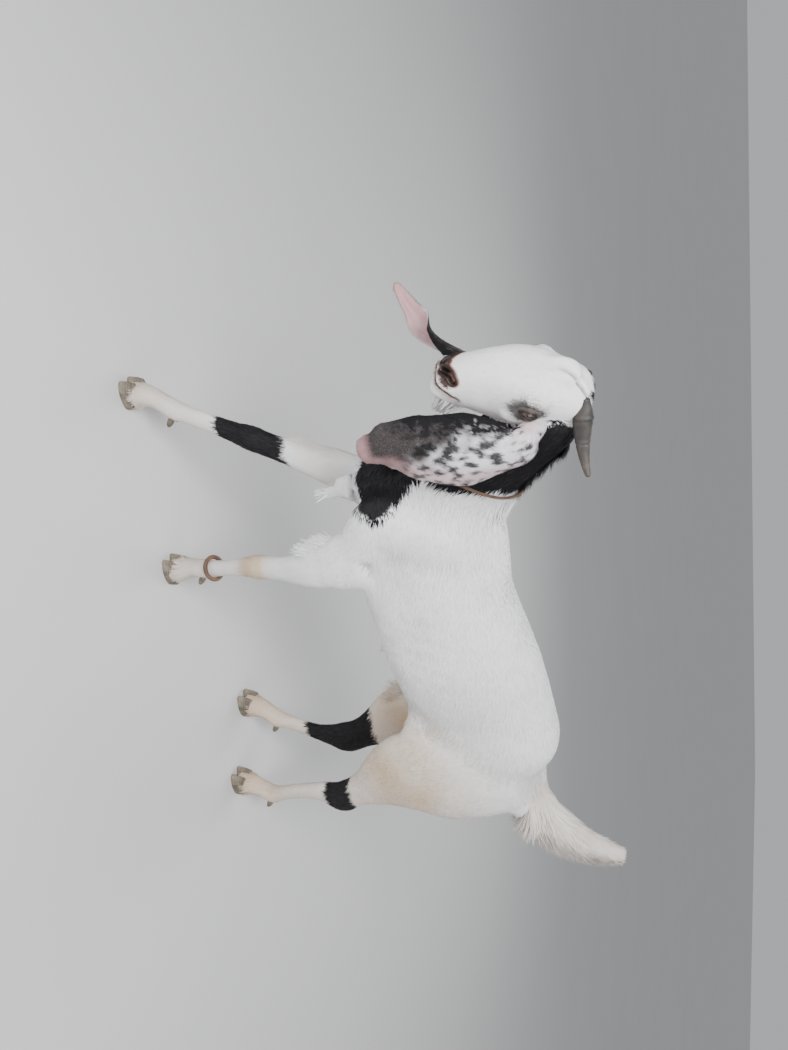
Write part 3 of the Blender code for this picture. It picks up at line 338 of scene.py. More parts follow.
@dataclass
class Flow:
    """Points on the surface with the coat's direction, region and place on the unwrap."""

    points: list[Vector] = field(default_factory=list)
    lies: list[Vector] = field(default_factory=list)
    regions: list[int] = field(default_factory=list)
    places: list[tuple[float, float]] = field(default_factory=list)

    def add(self, point: Vector, lie: Vector, region: Region, place: tuple[float, float]) -> None:
        """Note one point of the surface.

        Args:
            point: Where it is.
            lie: Which way the hair runs there.
            region: The part of the body.
            place: Its place on that part's unwrap, each from 0 to 1.
        """
        self.points.append(point)
        self.lies.append(lie.normalized())
        self.regions.append(region.value)
        self.places.append(place)

    def tree(self) -> KDTree:
        """A search tree of the points."""
        made = KDTree(len(self.points))
        for i, point in enumerate(self.points):
            made.insert(point, i)
        made.balance()
        return made


@dataclass
class Loft:
    """A smooth closed tube through cross-sections."""

    sections: Sequence[Section]
    uprights: Sequence[Vector]
    count: int = 24

    def rings(self) -> list[list[tuple[Vector, float, float, Vector]]]:
        """The points of every cross-section, each with its across and height shares and direction."""
        made = []
        last = len(self.sections) - 1
        for i, section in enumerate(self.sections):
            ahead = self.sections[min(i + 1, last)].centre - self.sections[max(i - 1, 0)].centre
            along = ahead.normalized()
            side = along.cross(self.uprights[i]).normalized()
            up = side.cross(along).normalized()
            ring = []
            for j in range(self.count):
                angle = 2 * math.pi * j / self.count
                across, height = math.cos(angle), math.sin(angle)
                wide = math.copysign(abs(across) ** section.square, across)
                tall = math.copysign(abs(height) ** section.square, height)
                reach = wide * section.side * (1 + section.lean * tall)
                rise = tall * (section.up if height > 0 else section.down)
                ring.append((section.centre + side * reach + up * rise, across, height, along))
            made.append(ring)
        return made

    def into(self, shape: Shape) -> None:
        """Add the closed tube to a mesh being built."""
        bridge(shape, [[shape.verts.new(point[0]) for point in ring] for ring in self.rings()])

    def note(self, flow: Flow, region: Region, lie: Callable[[Vector, float, float], Vector]) -> None:
        """Note the tube's surface for the run of the coat.

        Args:
            flow: Where it is noted.
            region: The part of the body that the tube is.
            lie: Gives the hair's direction from the way along, the across and the height share.
        """
        rings = self.rings()
        for i, ring in enumerate(rings):
            for j, (point, across, height, along) in enumerate(ring):
                place = (j / self.count, i / (len(rings) - 1))
                flow.add(point, lie(along, across, height), region, place)


def bridge(shape: Shape, rings: Sequence, closed: bool = False) -> None:
    """Join rings of points with faces.

    Args:
        shape: The mesh being built.
        rings: Rings with as many points each.
        closed: Whether the last ring joins the first, instead of a face at each end.
    """
    for near, far in zip(rings, [*rings[1:], rings[0]] if closed else rings[1:]):
        for i in range(len(near)):
            j = (i + 1) % len(near)
            shape.faces.new((near[i], near[j], far[j], far[i]))
    if not closed:
        shape.faces.new(rings[0][::-1])
        shape.faces.new(rings[-1])


def smooth_loft(sections: Sequence[Section], upright: Vector, steps: int = 6, count: int = 32) -> Loft:
    """A loft through sections that share one upright, with smooth ones between them."""
    fine = finer(sections, steps)
    return Loft(fine, [upright] * len(fine), count)


@dataclass
class Blob:
    """An ellipsoid with its radii along the axes of a frame."""

    centre: Vector
    radii: Row
    frame: Matrix = field(default_factory=lambda: Matrix.Identity(3))
    segments: int = 24

    def into(self, shape: Shape) -> None:
        """Add the ellipsoid to a mesh being built."""
        place = Matrix.Translation(self.centre) @ self.frame.to_4x4() @ Matrix.Diagonal((*self.radii, 1.0))
        bmesh.ops.create_uvsphere(
            shape, u_segments=self.segments, v_segments=self.segments // 2, radius=1.0, matrix=place
        )


def limb_sections(rows: Sequence[Row]) -> list[Section]:
    """Sections of a limb from rows of forward, left, up, fore, rear and side sizes."""
    return [Section(at(*row[:3]), row[5], row[3], row[4]) for row in rows]


@dataclass
class Trunk:
    """The trunk with its underline and the folds that hang from it."""

    withers: float = 0.784
    croup: float = 0.823
    brisket_height: float = 0.482
    barrel: float = 0.118
    brisket: Sequence[Row] = metres(
        (700, -4, 500, 30, 30, 22),
        (700, -2, 474, 22, 26, 14),
        (692, 2, 452, 10, 14, 7),
    )
    sheath: Sequence[Row] = metres(
        (180, 0, 532, 16, 16, 16),
        (250, 0, 520, 16, 20, 14),
        (310, 0, 508, 12, 18, 11),
        (330, 0, 500, 6, 8, 6),
    )
    scrotum: Sequence[Row] = metres(
        (24, 0, 610, 26, 26, 20),
        (18, 0, 560, 22, 22, 19),
        (10, 0, 505, 19, 19, 18),
        (6, 0, 460, 23, 23, 24),
        (4, 0, 430, 20, 20, 22),
        (4, 0, 414, 9, 9, 10),
    )

    def barrel_loft(self) -> Loft:
        """The trunk from the pin bones to the breast."""
        loin = self.croup - 0.012
        rows = (
            # forward, top, bottom, half width, squareness, lean
            (-0.058, 0.740, 0.672, 0.026, 1.0, 0.0),
            (-0.040, 0.758, 0.640, 0.048, 0.95, 0.0),
            (0.000, 0.777, 0.590, 0.068, 0.92, 0.02),
            (0.070, 0.799, 0.535, 0.084, 0.90, 0.03),
            (0.145, self.croup, 0.515, 0.092, 0.88, 0.0),
            (0.215, self.croup - 0.004, 0.526, 0.090, 0.88, -0.06),
            (0.290, loin, 0.514, 0.104, 0.88, -0.12),
            (0.380, self.withers + 0.008, 0.504, self.barrel, 0.90, -0.14),
            (0.470, self.withers - 0.009, 0.495, self.barrel - 0.006, 0.90, -0.14),
            (0.550, self.withers - 0.002, self.brisket_height, 0.098, 0.94, -0.16),
            (0.625, self.withers, self.brisket_height, 0.086, 0.96, -0.12),
            (0.690, self.withers - 0.022, 0.488, 0.074, 0.95, -0.02),
            (0.735, self.withers - 0.100, 0.500, 0.058, 0.98, 0.0),
            (0.766, 0.640, 0.530, 0.030, 1.0, 0.0),
        )
        sections = [
            Section(at(row[0], 0, (row[1] + row[2]) / 2), row[3], *[(row[1] - row[2]) / 2] * 2, *row[4:])
            for row in rows
        ]
        return smooth_loft(sections, UP, count=48)

    def pieces(self, flow: Flow) -> list:
        """Every form of the trunk, with its surface noted for the coat."""
        barrel = self.barrel_loft()
        barrel.note(flow, Region.TRUNK, lambda along, across, height: -along - UP * 0.55 * abs(across))
        pouch = smooth_loft(limb_sections(self.scrotum), FORWARD)
        pouch.note(flow, Region.SCROTUM, lambda along, across, height: along)
        made = [barrel, pouch]
        made.append(smooth_loft(limb_sections(self.brisket), FORWARD))
        made.append(smooth_loft(limb_sections(self.sheath), UP))
        for turn in SIDES.values():
            flank = (
                (0.280, turn * 0.050, 0.590, 0.020, 0.022, 0.014),
                (0.225, turn * 0.068, 0.566, 0.024, 0.028, 0.014),
                (0.165, turn * 0.078, 0.535, 0.022, 0.028, 0.014),
            )
            made.append(smooth_loft(limb_sections(flank), UP))
            made.append(Blob(at(0.165, turn * 0.057, 0.757), (0.026, 0.028, 0.026)))
            made.append(Blob(at(-0.028, turn * 0.036, 0.722), (0.024, 0.032, 0.032)))
        return made


@dataclass
class Neck:
    """The neck from the shoulders to the skull."""

    rows: Sequence[Row] = (
        # forward, left, up, half width, towards the crest, towards the throat
        (0.600, 0.000, 0.640, 0.060, 0.110, 0.100),
        (0.672, 0.002, 0.684, 0.058, 0.108, 0.098),
        (0.722, 0.008, 0.736, 0.052, 0.088, 0.084),
        (0.764, 0.018, 0.790, 0.047, 0.074, 0.070),
        (0.800, 0.032, 0.842, 0.044, 0.066, 0.062),
        (0.830, 0.046, 0.890, 0.043, 0.056, 0.056),
        (0.852, 0.054, 0.925, 0.036, 0.040, 0.046),
    )

    def pieces(self, flow: Flow) -> list:
        """The neck's form, with its surface noted for the coat."""
        sections = [Section(at(*row[:3]), row[3], row[4], row[5], 0.95, -0.08) for row in self.rows]
        made = smooth_loft(sections, UP, count=40)
        made.note(flow, Region.NECK, lambda along, across, height: -along - UP * 0.25)
        return [made]

    def middle(self) -> list[Vector]:
        """The neck's middle line, finely divided."""
        return spread([at(*row[:3]) for row in self.rows], 12)


@dataclass
class Skull:
    """The head's masses: skull, muzzle, jaw, cheeks, brows and lips."""

    rows: Sequence[Row] = (
        # down the face, bridge height, jaw depth, half width, squareness, lean
        (-0.026, 0.012, 0.030, 0.026, 1.0, 0.0),
        (-0.008, 0.040, 0.050, 0.043, 0.92, 0.0),
        (0.022, 0.057, 0.062, 0.051, 0.88, 0.05),
        (0.055, 0.067, 0.072, 0.057, 0.88, 0.12),
        (0.088, 0.074, 0.073, 0.058, 0.88, 0.16),
        (0.120, 0.076, 0.067, 0.052, 0.90, 0.12),
        (0.150, 0.071, 0.057, 0.045, 0.90, 0.06),
        (0.178, 0.061, 0.047, 0.040, 0.90, 0.0),
        (0.204, 0.048, 0.039, 0.036, 0.86, 0.0),
        (0.226, 0.032, 0.030, 0.032, 0.84, 0.0),
        (0.240, 0.015, 0.018, 0.023, 0.90, 0.0),
    )
    paired: Sequence[tuple[Row, Row]] = (
        # right, down, out, and the radii along the same axes
        ((0.047, 0.066, 0.033), (0.017, 0.027, 0.021)),
        ((0.051, 0.086, -0.002), (0.013, 0.036, 0.020)),
        ((0.038, 0.056, -0.034), (0.021, 0.046, 0.034)),
        ((0.021, 0.211, 0.016), (0.013, 0.020, 0.017)),
        ((0.018, 0.224, -0.002), (0.015, 0.017, 0.013)),
    )

    def pieces(self, flow: Flow) -> list:
        """Every form of the head, with its surface noted for the coat."""
        size = SKULL.scale
        sections = [
            Section(in_head(0, row[0], 0), row[3] * size, row[1] * size, row[2] * size, row[4], row[5])
            for row in self.rows
        ]
        case = smooth_loft(sections, HEAD_AXES.col[2], count=40)
        case.note(flow, Region.HEAD, lambda along, across, height: -along)
        axes = HEAD_AXES * size
        made = [case]
        for turn in SIDES.values():
            for (right, down, out), radii in self.paired:
                made.append(Blob(in_head(turn * right, down, out), radii, axes))
        made.append(Blob(in_head(0, 0.222, -0.020), (0.021, 0.018, 0.011), axes))
        made.append(Blob(in_head(0, 0.045, 0.052), (0.030, 0.045, 0.018), axes))
        return made


@dataclass
class Legs:
    """The four legs in the stride that the goat holds."""

    fore_left: Sequence[Row] = metres(
        # forward, left, up, half sizes to the front, to the rear and to the side, all in millimetres
        (585, 72, 540, 78, 50, 30), (568, 74, 492, 76, 42, 32),
        (560, 71, 440, 60, 34, 30), (556, 64, 385, 38, 31, 25.5),
        (553, 52, 318, 26, 25, 21), (550, 43, 268, 26, 26, 24.5),
        (544, 35, 225, 20, 21, 19), (536, 28, 180, 16.5, 17.5, 15.5),
        (530, 22, 135, 17, 18.5, 16.5), (526, 18, 106, 21, 23.5, 21),
        (526, 15, 78, 18.5, 20, 21.5), (522, 12, 52, 22.5, 23, 25),
        (516, 11, 28, 26, 26, 27), (514, 10, 10, 26, 26, 27),
    )
    fore_right: Sequence[Row] = metres(
        (640, -70, 540, 60, 50, 30), (666, -74, 492, 56, 46, 32),
        (706, -70, 438, 45, 40, 29), (740, -62, 378, 34, 33, 25),
        (768, -56, 318, 25, 26, 21), (788, -53, 276, 27, 26, 25),
        (807, -53, 234, 21, 22, 20), (828, -54, 184, 18, 19.5, 17),
        (848, -56, 136, 18, 20, 17.5), (861, -57, 104, 21.5, 24, 21.5),
        (881, -57, 76, 18.5, 20, 21.5), (893, -57, 52, 22.5, 23, 25),
        (898, -57, 28, 26, 26, 27), (900, -57, 10, 26, 26, 27),
    )
    hind_left: Sequence[Row] = metres(
        (58, 46, 740, 70, 78, 30), (62, 62, 660, 105, 112, 40),
        (72, 72, 585, 122, 132, 44), (62, 76, 515, 105, 120, 41),
        (30, 73, 450, 72, 83, 34), (-8, 68, 392, 46, 52, 26.5),
        (-38, 64, 342, 35, 38, 22.5), (-60, 62, 296, 34, 48, 22.5),
        (-60, 60, 258, 26, 29, 21), (-65, 59, 218, 19.5, 20, 17.5),
        (-78, 58, 168, 17.5, 18, 15.5), (-93, 57, 123, 18, 19, 17),
        (-101, 57, 97, 21.5, 24, 21.5), (-90, 57, 72, 18.5, 20, 21.5),
        (-82, 57, 50, 22.5, 23, 25), (-78, 57, 28, 26, 26, 27),
        (-76, 57, 10, 26, 26, 27),
    )
    hind_right: Sequence[Row] = metres(
        (62, -46, 740, 70, 78, 30), (70, -62, 660, 105, 112, 40),
        (88, -72, 580, 120, 134, 44), (92, -76, 508, 104, 116, 41),
        (74, -73, 440, 84, 78, 34), (44, -68, 378, 58, 52, 26.5),
        (18, -64, 322, 42, 40, 22.5), (3, -61, 266, 38, 47, 22.5),
        (4, -60, 230, 28, 30, 21), (9, -59, 194, 19.5, 21, 17.5),
        (20, -58, 155, 17.5, 18, 15.5), (32, -57, 115, 18, 19, 17),
        (38, -57, 92, 21.5, 24, 21.5), (56, -57, 69, 18.5, 20, 21.5),
        (68, -57, 49, 22.5, 23, 25), (74, -57, 28, 26, 26, 27),
        (76, -57, 10, 26, 26, 27),
    )

    def table(self) -> dict[tuple[str, str], tuple[Region, Sequence[Row]]]:
        """The rows and region of each leg, by kind and side."""
        return {
            ("foreleg", "left"): (Region.FORE_LEFT, self.fore_left),
            ("foreleg", "right"): (Region.FORE_RIGHT, self.fore_right),
            ("hindleg", "left"): (Region.HIND_LEFT, self.hind_left),
            ("hindleg", "right"): (Region.HIND_RIGHT, self.hind_right),
        }

    def pieces(self, flow: Flow) -> list:
        """Every form of the legs and shoulders, with their surfaces noted for the coat."""
        made = []
        for (kind, side), (region, rows) in self.table().items():
            turn = SIDES[side]
            leg = smooth_loft(limb_sections(rows), FORWARD)
            back = 0.35 if kind == "hindleg" else 0.15
            leg.note(flow, region, lambda along, across, height: along - FORWARD * back)
            made.append(leg)
            if kind == "hindleg":
                continue
            top = rows[0]
            blade = (
                (0.575, turn * 0.030, 0.762, 0.030, 0.036, 0.012),
                (0.612, turn * 0.058, 0.705, 0.045, 0.056, 0.024),
                (0.652, turn * 0.070, 0.635, 0.050, 0.062, 0.030),
                (0.672, turn * 0.073, 0.578, 0.046, 0.062, 0.031),
                (top[0] + 0.025, turn * 0.073, 0.530, 0.050, 0.056, 0.031),
            )
            made.append(smooth_loft(limb_sections(blade), FORWARD))
            made.append(Blob(at(top[0] - 0.040, turn * 0.070, top[2] - 0.030), (0.012, 0.014, 0.026)))
        return made


@dataclass
class Tail:
    """The fleshy core of the raised tail."""

    rows: Sequence[Row] = (
        # forward, up, half depth, half width
        (0.040, 0.762, 0.022, 0.030),
        (-0.010, 0.758, 0.024, 0.030),
        (-0.062, 0.764, 0.028, 0.027),
        (-0.108, 0.792, 0.024, 0.022),
        (-0.140, 0.826, 0.019, 0.017),
        (-0.158, 0.864, 0.014, 0.013),
        (-0.167, 0.893, 0.008, 0.008),
    )

    def pieces(self, flow: Flow) -> list:
        """The tail's form, with its surface noted for the coat."""
        sections = [Section(at(row[0], 0, row[1]), row[3], row[2], row[2]) for row in self.rows]
        made = smooth_loft(sections, UP)
        made.note(flow, Region.TAIL, lambda along, across, height: along)
        return [made]


# Patterns of the coat, in the goat's own space


def blur_step(values: Array, edge: float, soft: float) -> Array:
    """A smooth step from 0 below the edge to 1 above it."""
    share = np.clip((values - edge) / soft + 0.5, 0, 1)
    return share * share * (3 - 2 * share)


def speckle(points: Array, scale: float, seed: float = 0.0) -> Array:
    """Smooth noise from about -1 to 1 at points, with features of 1/scale metres."""
    offset = Vector((seed, seed * 0.7, -seed))
    return np.array([noise.noise(Vector(point) * scale + offset) for point in points])


def polygon_depth(points: Array, corners: Sequence[tuple[float, float]]) -> Array:
    """How deep each flat point lies inside a polygon, negative outside.

    Args:
        points: Rows of two coordinates.
        corners: The polygon's corners in order.

    Returns:
        The distance to its edge, positive inside.
    """
    inside = np.zeros(len(points), bool)
    nearest = np.full(len(points), 1e9)
    for (ax, ay), (bx, by) in zip(corners, [*corners[1:], corners[0]]):
        crosses = (ay > points[:, 1]) != (by > points[:, 1])
        run = (bx - ax) * (points[:, 1] - ay) / (by - ay + 1e-12) + ax
        inside ^= crosses & (points[:, 0] < run)
        edge = np.array((bx - ax, by - ay))
        rel = points - (ax, ay)
        share = np.clip(rel @ edge / (edge @ edge), 0, 1)
        nearest = np.minimum(nearest, np.linalg.norm(rel - share[:, None] * edge, axis=1))
    return np.where(inside, nearest, -nearest)


@dataclass
class Markings:
    """Where the coat is black, tan or cream and where the skin is bare."""

    neck_patch: Sequence[tuple[float, float]] = (
        # forward and up of the black patch's edge, from the nape down and round the chest
        (0.700, 0.905), (0.690, 0.850), (0.696, 0.831), (0.713, 0.800), (0.713, 0.777),
        (0.716, 0.746), (0.720, 0.721), (0.731, 0.697), (0.752, 0.680), (0.744, 0.655),
        (0.706, 0.623), (0.687, 0.580), (0.701, 0.549), (0.727, 0.532), (0.741, 0.525),
        (0.756, 0.543), (0.784, 0.560), (0.802, 0.571), (0.950, 0.600), (0.950, 1.050),
        (0.700, 1.050),
    )
    # the black band of three legs, from its lower to its upper edge
    bands: Sequence[tuple[Region, float, float]] = (
        (Region.FORE_RIGHT, 0.205, 0.345),
        (Region.HIND_RIGHT, 0.175, 0.365),
        (Region.HIND_LEFT, 0.270, 0.345),
    )

    def paint(self, points: Array, regions: Array) -> Array:
        """The four masks at points of the skin.

        Args:
            points: Places in the goat's space.
            regions: The region number of each.

        Returns:
            Rows of black, tan, bare skin and dark speckles with painted shade, each from 0 to 1.
        """
        ragged = speckle(points, 60) * 0.006 + speckle(points, 220, 3.0) * 0.004
        flat = np.stack((-points[:, 1], points[:, 2]), axis=1)
        head = to_head(points)
        on_head = regions == Region.HEAD.value
        black = blur_step(polygon_depth(flat, self.neck_patch) + ragged, 0.0, 0.006)
        far_side = (points[:, 0] < -0.045) & (points[:, 2] < 0.66)
        black = np.where(far_side | (points[:, 2] < 0.50), 0.0, black)
        legged = regions >= Region.FORE_LEFT.value
        black = np.where(legged & (points[:, 2] < 0.52), 0.0, black)
        nape = -0.020 - (head[:, 1] + 0.55 * np.minimum(head[:, 2] + 0.010, 0.0)) + ragged
        nape = np.maximum(nape, -0.060 - head[:, 2] + ragged - 0.2 * np.maximum(head[:, 1] - 0.02, 0))
        black = np.where(on_head, blur_step(nape, 0.0, 0.006), black)
        for region, low, high in self.bands:
            height = points[:, 2] + ragged * 1.5
            band = blur_step(height, low, 0.010) * (1 - blur_step(height, high, 0.010))
            black = np.where(regions == region.value, np.maximum(black, band), black)
        masks = (black, self.tan(points, regions), self.bare(points, head, on_head))
        return np.stack((*masks, self.freckles_and_shade(points, head, on_head)), axis=1)

    def tan(self, points: Array, regions: Array) -> Array:
        """The warm stains of flank, thighs and lower legs.

        Args:
            points: Places in the goat's space.
            regions: The region number of each.

        Returns:
            The mask, from 0 to 1.
        """
        cloudy = 0.5 + 0.5 * speckle(points, 14, 9.0)
        forward, up = -points[:, 1], points[:, 2]
        thigh = bell((forward, 0.06, 0.17), (up, 0.50, 0.15))
        low = np.clip((0.24 - up) / 0.20, 0, 1) * 0.62
        hind = (regions >= Region.HIND_LEFT.value) * np.clip((0.50 - up) / 0.25, 0, 1) * 0.35
        knee = (regions == Region.FORE_LEFT.value) * bell((up, 0.262, 0.036)) * 1.5
        tail = (regions == Region.TAIL.value) * 0.42
        inner = (regions == Region.FORE_RIGHT.value) * bell((up, 0.42, 0.05)) * 0.35
        return np.clip(thigh * (0.60 + 0.75 * cloudy) + low + hind + knee + tail + inner, 0, 1)

    def bare(self, points: Array, head: Array, on_head: Array) -> Array:
        """The naked skin of nose, lips and lids.

        Args:
            points: Places in the goat's space.
            head: The same places in head space.
            on_head: Whether each is on the head.

        Returns:
            The mask, from 0 to 1.
        """
        right, down, out = head.T
        ragged = speckle(points, 260, 8.0) * 0.0022
        edge = 0.2040 + 0.30 * np.maximum(np.abs(right) - 0.022, 0)
        above = out - mouth_line(down) + ragged
        nose = blur_step(down - edge + ragged, 0.0, 0.005) * blur_step(above, 0.0085, 0.005)
        for turn in SIDES.values():
            nose = np.maximum(nose, 1 - blur_step(nostril_reach(head, turn), 0.0130, 0.003))
        lips = np.exp(-((np.minimum(above, 0) / 0.0105) ** 4) - (np.maximum(above, 0) / 0.0046) ** 4)
        made = np.maximum(nose, lips * blur_step(down, 0.188, 0.012) * (0.45 + 0.5 * (above > -0.0035)))
        for socket in SOCKETS:
            made = np.maximum(made, 1 - blur_step(socket.margin(points), 0.0030, 0.0030))
            nose_side, above, depth = socket.local(points).T
            pink = bell((nose_side, -0.002, 0.012), (above, 0.016, 0.008))
            made = np.maximum(made, pink * (0.55 + 0.6 * speckle(points, 420, 6.0)) * (depth > -0.01))
        return np.clip(made, 0, 1) * on_head

    def freckles_and_shade(self, points: Array, head: Array, on_head: Array) -> Array:
        """The face's fine dark specks, dark skin round the nostrils, dark lid skin with painted shade round
        the eyes, and painted shade along the parting.

        Args:
            points: Places in the goat's space.
            head: The same places in head space.
            on_head: Whether each is on the head.

        Returns:
            The mask, from 0 to 1.
        """
        specks = blur_step(speckle(points, 420, 5.0), 0.50, 0.12)
        made = specks * np.clip(0.75 - np.abs(head[:, 1] - 0.10) / 0.14, 0, 1) * 0.5
        rough = speckle(points, 170, 6.0) * 0.003
        gap = (head[:, 2] - mouth_line(head[:, 1])) + rough * 0.4
        nose = blur_step(head[:, 1] + rough, 0.206, 0.006) * blur_step(gap, 0.0090, 0.005)
        lips = bell((gap, 0.0010, 0.0058)) * blur_step(head[:, 1], 0.186, 0.008)
        made = np.maximum(made, np.maximum(0.86 * nose, 0.90 * lips))
        # a dark line painted along the sunk parting: painted shade in the groove
        part = head[:, 0] - 0.002 + 0.40 * (0.040 - head[:, 1])
        groove = bell((part, 0, 0.0026)) * np.exp(-(((head[:, 1] - 0.010) / 0.026) ** 4)) * (head[:, 2] > 0)
        made = np.maximum(made, 0.85 * groove)
        for socket in SOCKETS:
            nose_side, above, depth = socket.local(points).T
            margin = socket.margin(points)
            # round each eye the dark is partly lid skin and partly painted shade of the socket, widest
            # towards the nose
            spread_out = 0.0085 + 0.0060 * np.clip(nose_side / 0.012, 0, 1)
            ring = 1 - blur_step(margin + speckle(points, 260, 4.0) * 0.0030, spread_out, 0.0065)
            share = np.clip((above - 0.004) / 0.022, 0, 1)
            streak = bell((nose_side - 0.009 - 0.004 * share, 0, 0.0042)) * blur_step(above, 0.002, 0.006)
            streak *= 1 - blur_step(above, 0.024, 0.006)
            halo = np.exp(-((nose_side - 0.004) ** 2 + (above - 0.010) ** 2) / 0.022**2)
            dots = halo * blur_step(speckle(points, 480, 2.0), 0.0, 0.24)
            made = np.maximum(made, np.maximum(np.maximum(ring, streak), dots) * (depth > -0.022))
        for turn in SIDES.values():
            made = np.maximum(made, 1 - blur_step(nostril_reach(head, turn), 0.0105, 0.004))
        return np.clip(made, 0, 1) * on_head


MARKINGS = Markings()


# Shader expressions


class Graph:
    """The node tree of one material; every node comes from one method."""

    def __init__(self, name: str) -> None:
        """Start an empty material.

        Args:
            name: The material's name.
        """
        self.material = bpy.data.materials.new(name)
        self.material.use_nodes = True
        self.tree = self.material.node_tree
        self.tree.nodes.clear()

    def node(self, kind: str, settings: dict | None = None, feeds: dict | None = None) -> bpy.types.Node:
        """Add a node.

        Args:
            kind: The node's type.
            settings: Attributes of the node, set first; stops fill a colour ramp.
            feeds: Values or links of its sockets, by name or number.

        Returns:
            The new node.
        """
        made = self.tree.nodes.new(kind)
        for name, value in (settings or {}).items():
            if name == "stops":
                self.fill_ramp(made, value)
            else:
                setattr(made, name, value)
        for name, value in (feeds or {}).items():
            if isinstance(value, Signal):
                self.tree.links.new(value.socket, made.inputs[name])
            else:
                made.inputs[name].default_value = value
        return made

    @staticmethod
    def fill_ramp(made: bpy.types.Node, stops: Sequence[tuple[float, Row]]) -> None:
        """Give a colour ramp its stops."""
        ramp = made.color_ramp
        while len(ramp.elements) < len(stops):
            ramp.elements.new(1.0)
        for element, (place, colour) in zip(ramp.elements, stops):
            element.position = place
            element.color = (*colour, 1.0)

    def signal(self, made: bpy.types.Node, output: str | int = 0) -> "Signal":
        """One output of a node as a value to reckon with."""
        return Signal(self, made.outputs[output])

    def place(self, scale: Row = (1.0, 1.0, 1.0)) -> "Signal":
        """The surface's own place, stretched along each axis."""
        coords = self.signal(self.node("ShaderNodeTexCoord"), "Object")
        return self.signal(self.node("ShaderNodeMapping", {}, {"Vector": coords, "Scale": scale}))

    def noise(self, where: "Signal", scale: float, detail: float = 2.0, distort: float = 0.0) -> "Signal":
        """Cloudy noise from 0 to 1."""
        feeds = {"Vector": where, "Scale": scale, "Detail": detail, "Distortion": distort}
        return self.signal(self.node("ShaderNodeTexNoise", {}, feeds), 0)

    def cells(self, where: "Signal", scale: float) -> "Signal":
        """Distance to the nearest of many scattered points."""
        return self.signal(self.node("ShaderNodeTexVoronoi", {}, {"Vector": where, "Scale": scale}), 0)

    def layer(self, name: str) -> tuple["Signal", "Signal", "Signal"]:
        """The three channels of a painted layer of the mesh."""
        painted = self.node("ShaderNodeAttribute", {"attribute_name": name, "attribute_type": "GEOMETRY"})
        parts = self.node("ShaderNodeSeparateColor", {}, {"Color": self.signal(painted, "Color")})
        return self.signal(parts, 0), self.signal(parts, 1), self.signal(parts, 2)

    def layer_alpha(self, name: str) -> "Signal":
        """The fourth channel of a painted layer of the mesh."""
        painted = self.node("ShaderNodeAttribute", {"attribute_name": name, "attribute_type": "GEOMETRY"})
        return self.signal(painted, "Alpha")

    def mix(self, share: "Signal | float", first: object, second: object) -> "Signal":
        """A colour between two, which may be colours or signals."""
        feeds = {0: share, 6: solid(first), 7: solid(second)}
        return self.signal(self.node("ShaderNodeMix", {"data_type": "RGBA"}, feeds), 2)

    def bump(self, height: "Signal", depth: float, strength: float = 1.0) -> "Signal":
        """A normal raised by a height signal, with its depth in metres."""
        feeds = {"Strength": strength, "Distance": depth, "Height": height}
        return self.signal(self.node("ShaderNodeBump", {}, feeds))

    def surface(self, colour: object, roughness: "Signal | float", **extra: object) -> Material:
        """Finish the material.

        Args:
            colour: Its colour or colour signal.
            roughness: Its roughness.
            extra: Other sockets of the shader by name, with _ for a space.

        Returns:
            The material.
        """
        feeds = {"Base Color": solid(colour), "Roughness": roughness}
        feeds.update({name.replace("_", " "): value for name, value in extra.items()})
        shader = self.node("ShaderNodeBsdfPrincipled", {}, feeds)
        output = self.node("ShaderNodeOutputMaterial")
        self.tree.links.new(shader.outputs[0], output.inputs[0])
        return self.material


class Signal:
    """One output socket that takes part in Python sums."""

    def __init__(self, graph: Graph, socket: bpy.types.NodeSocket) -> None:
        """Wrap a socket of a graph."""
        self.graph = graph
        self.socket = socket

    def math(self, operation: str, *values: object, clamp: bool = False) -> "Signal":
        """A Math node on this signal and others."""
        feeds = dict(enumerate((self, *values)))
        settings = {"operation": operation, "use_clamp": clamp}
        return self.graph.signal(self.graph.node("ShaderNodeMath", settings, feeds))

    def __add__(self, other: object) -> "Signal":
        """The sum."""
        return self.math("ADD", other)

    __radd__ = __add__

    def __mul__(self, other: object) -> "Signal":
        """The product."""
        return self.math("MULTIPLY", other)

    __rmul__ = __mul__

    def __sub__(self, other: object) -> "Signal":
        """The difference."""
        return self.math("SUBTRACT", other)

    def __rsub__(self, other: float) -> "Signal":
        """A number less this signal."""
        return self.math("MULTIPLY", -1.0).math("ADD", other)

    def __pow__(self, other: float) -> "Signal":
        """The power."""
        return self.math("POWER", other)

    def clamped(self) -> "Signal":
        """The signal kept from 0 to 1."""
        return self.math("ADD", 0.0, clamp=True)

    def step(self, low: float, high: float) -> "Signal":
        """A smooth step from 0 at low to 1 at high."""
        feeds = {"Value": self, "From Min": low, "From Max": high}
        made = self.graph.node("ShaderNodeMapRange", {"interpolation_type": "SMOOTHSTEP"}, feeds)
        return self.graph.signal(made)


def solid(colour: object) -> object:
    """A colour with its alpha, or the signal itself."""
    return colour if isinstance(colour, Signal) else (*colour, 1.0)


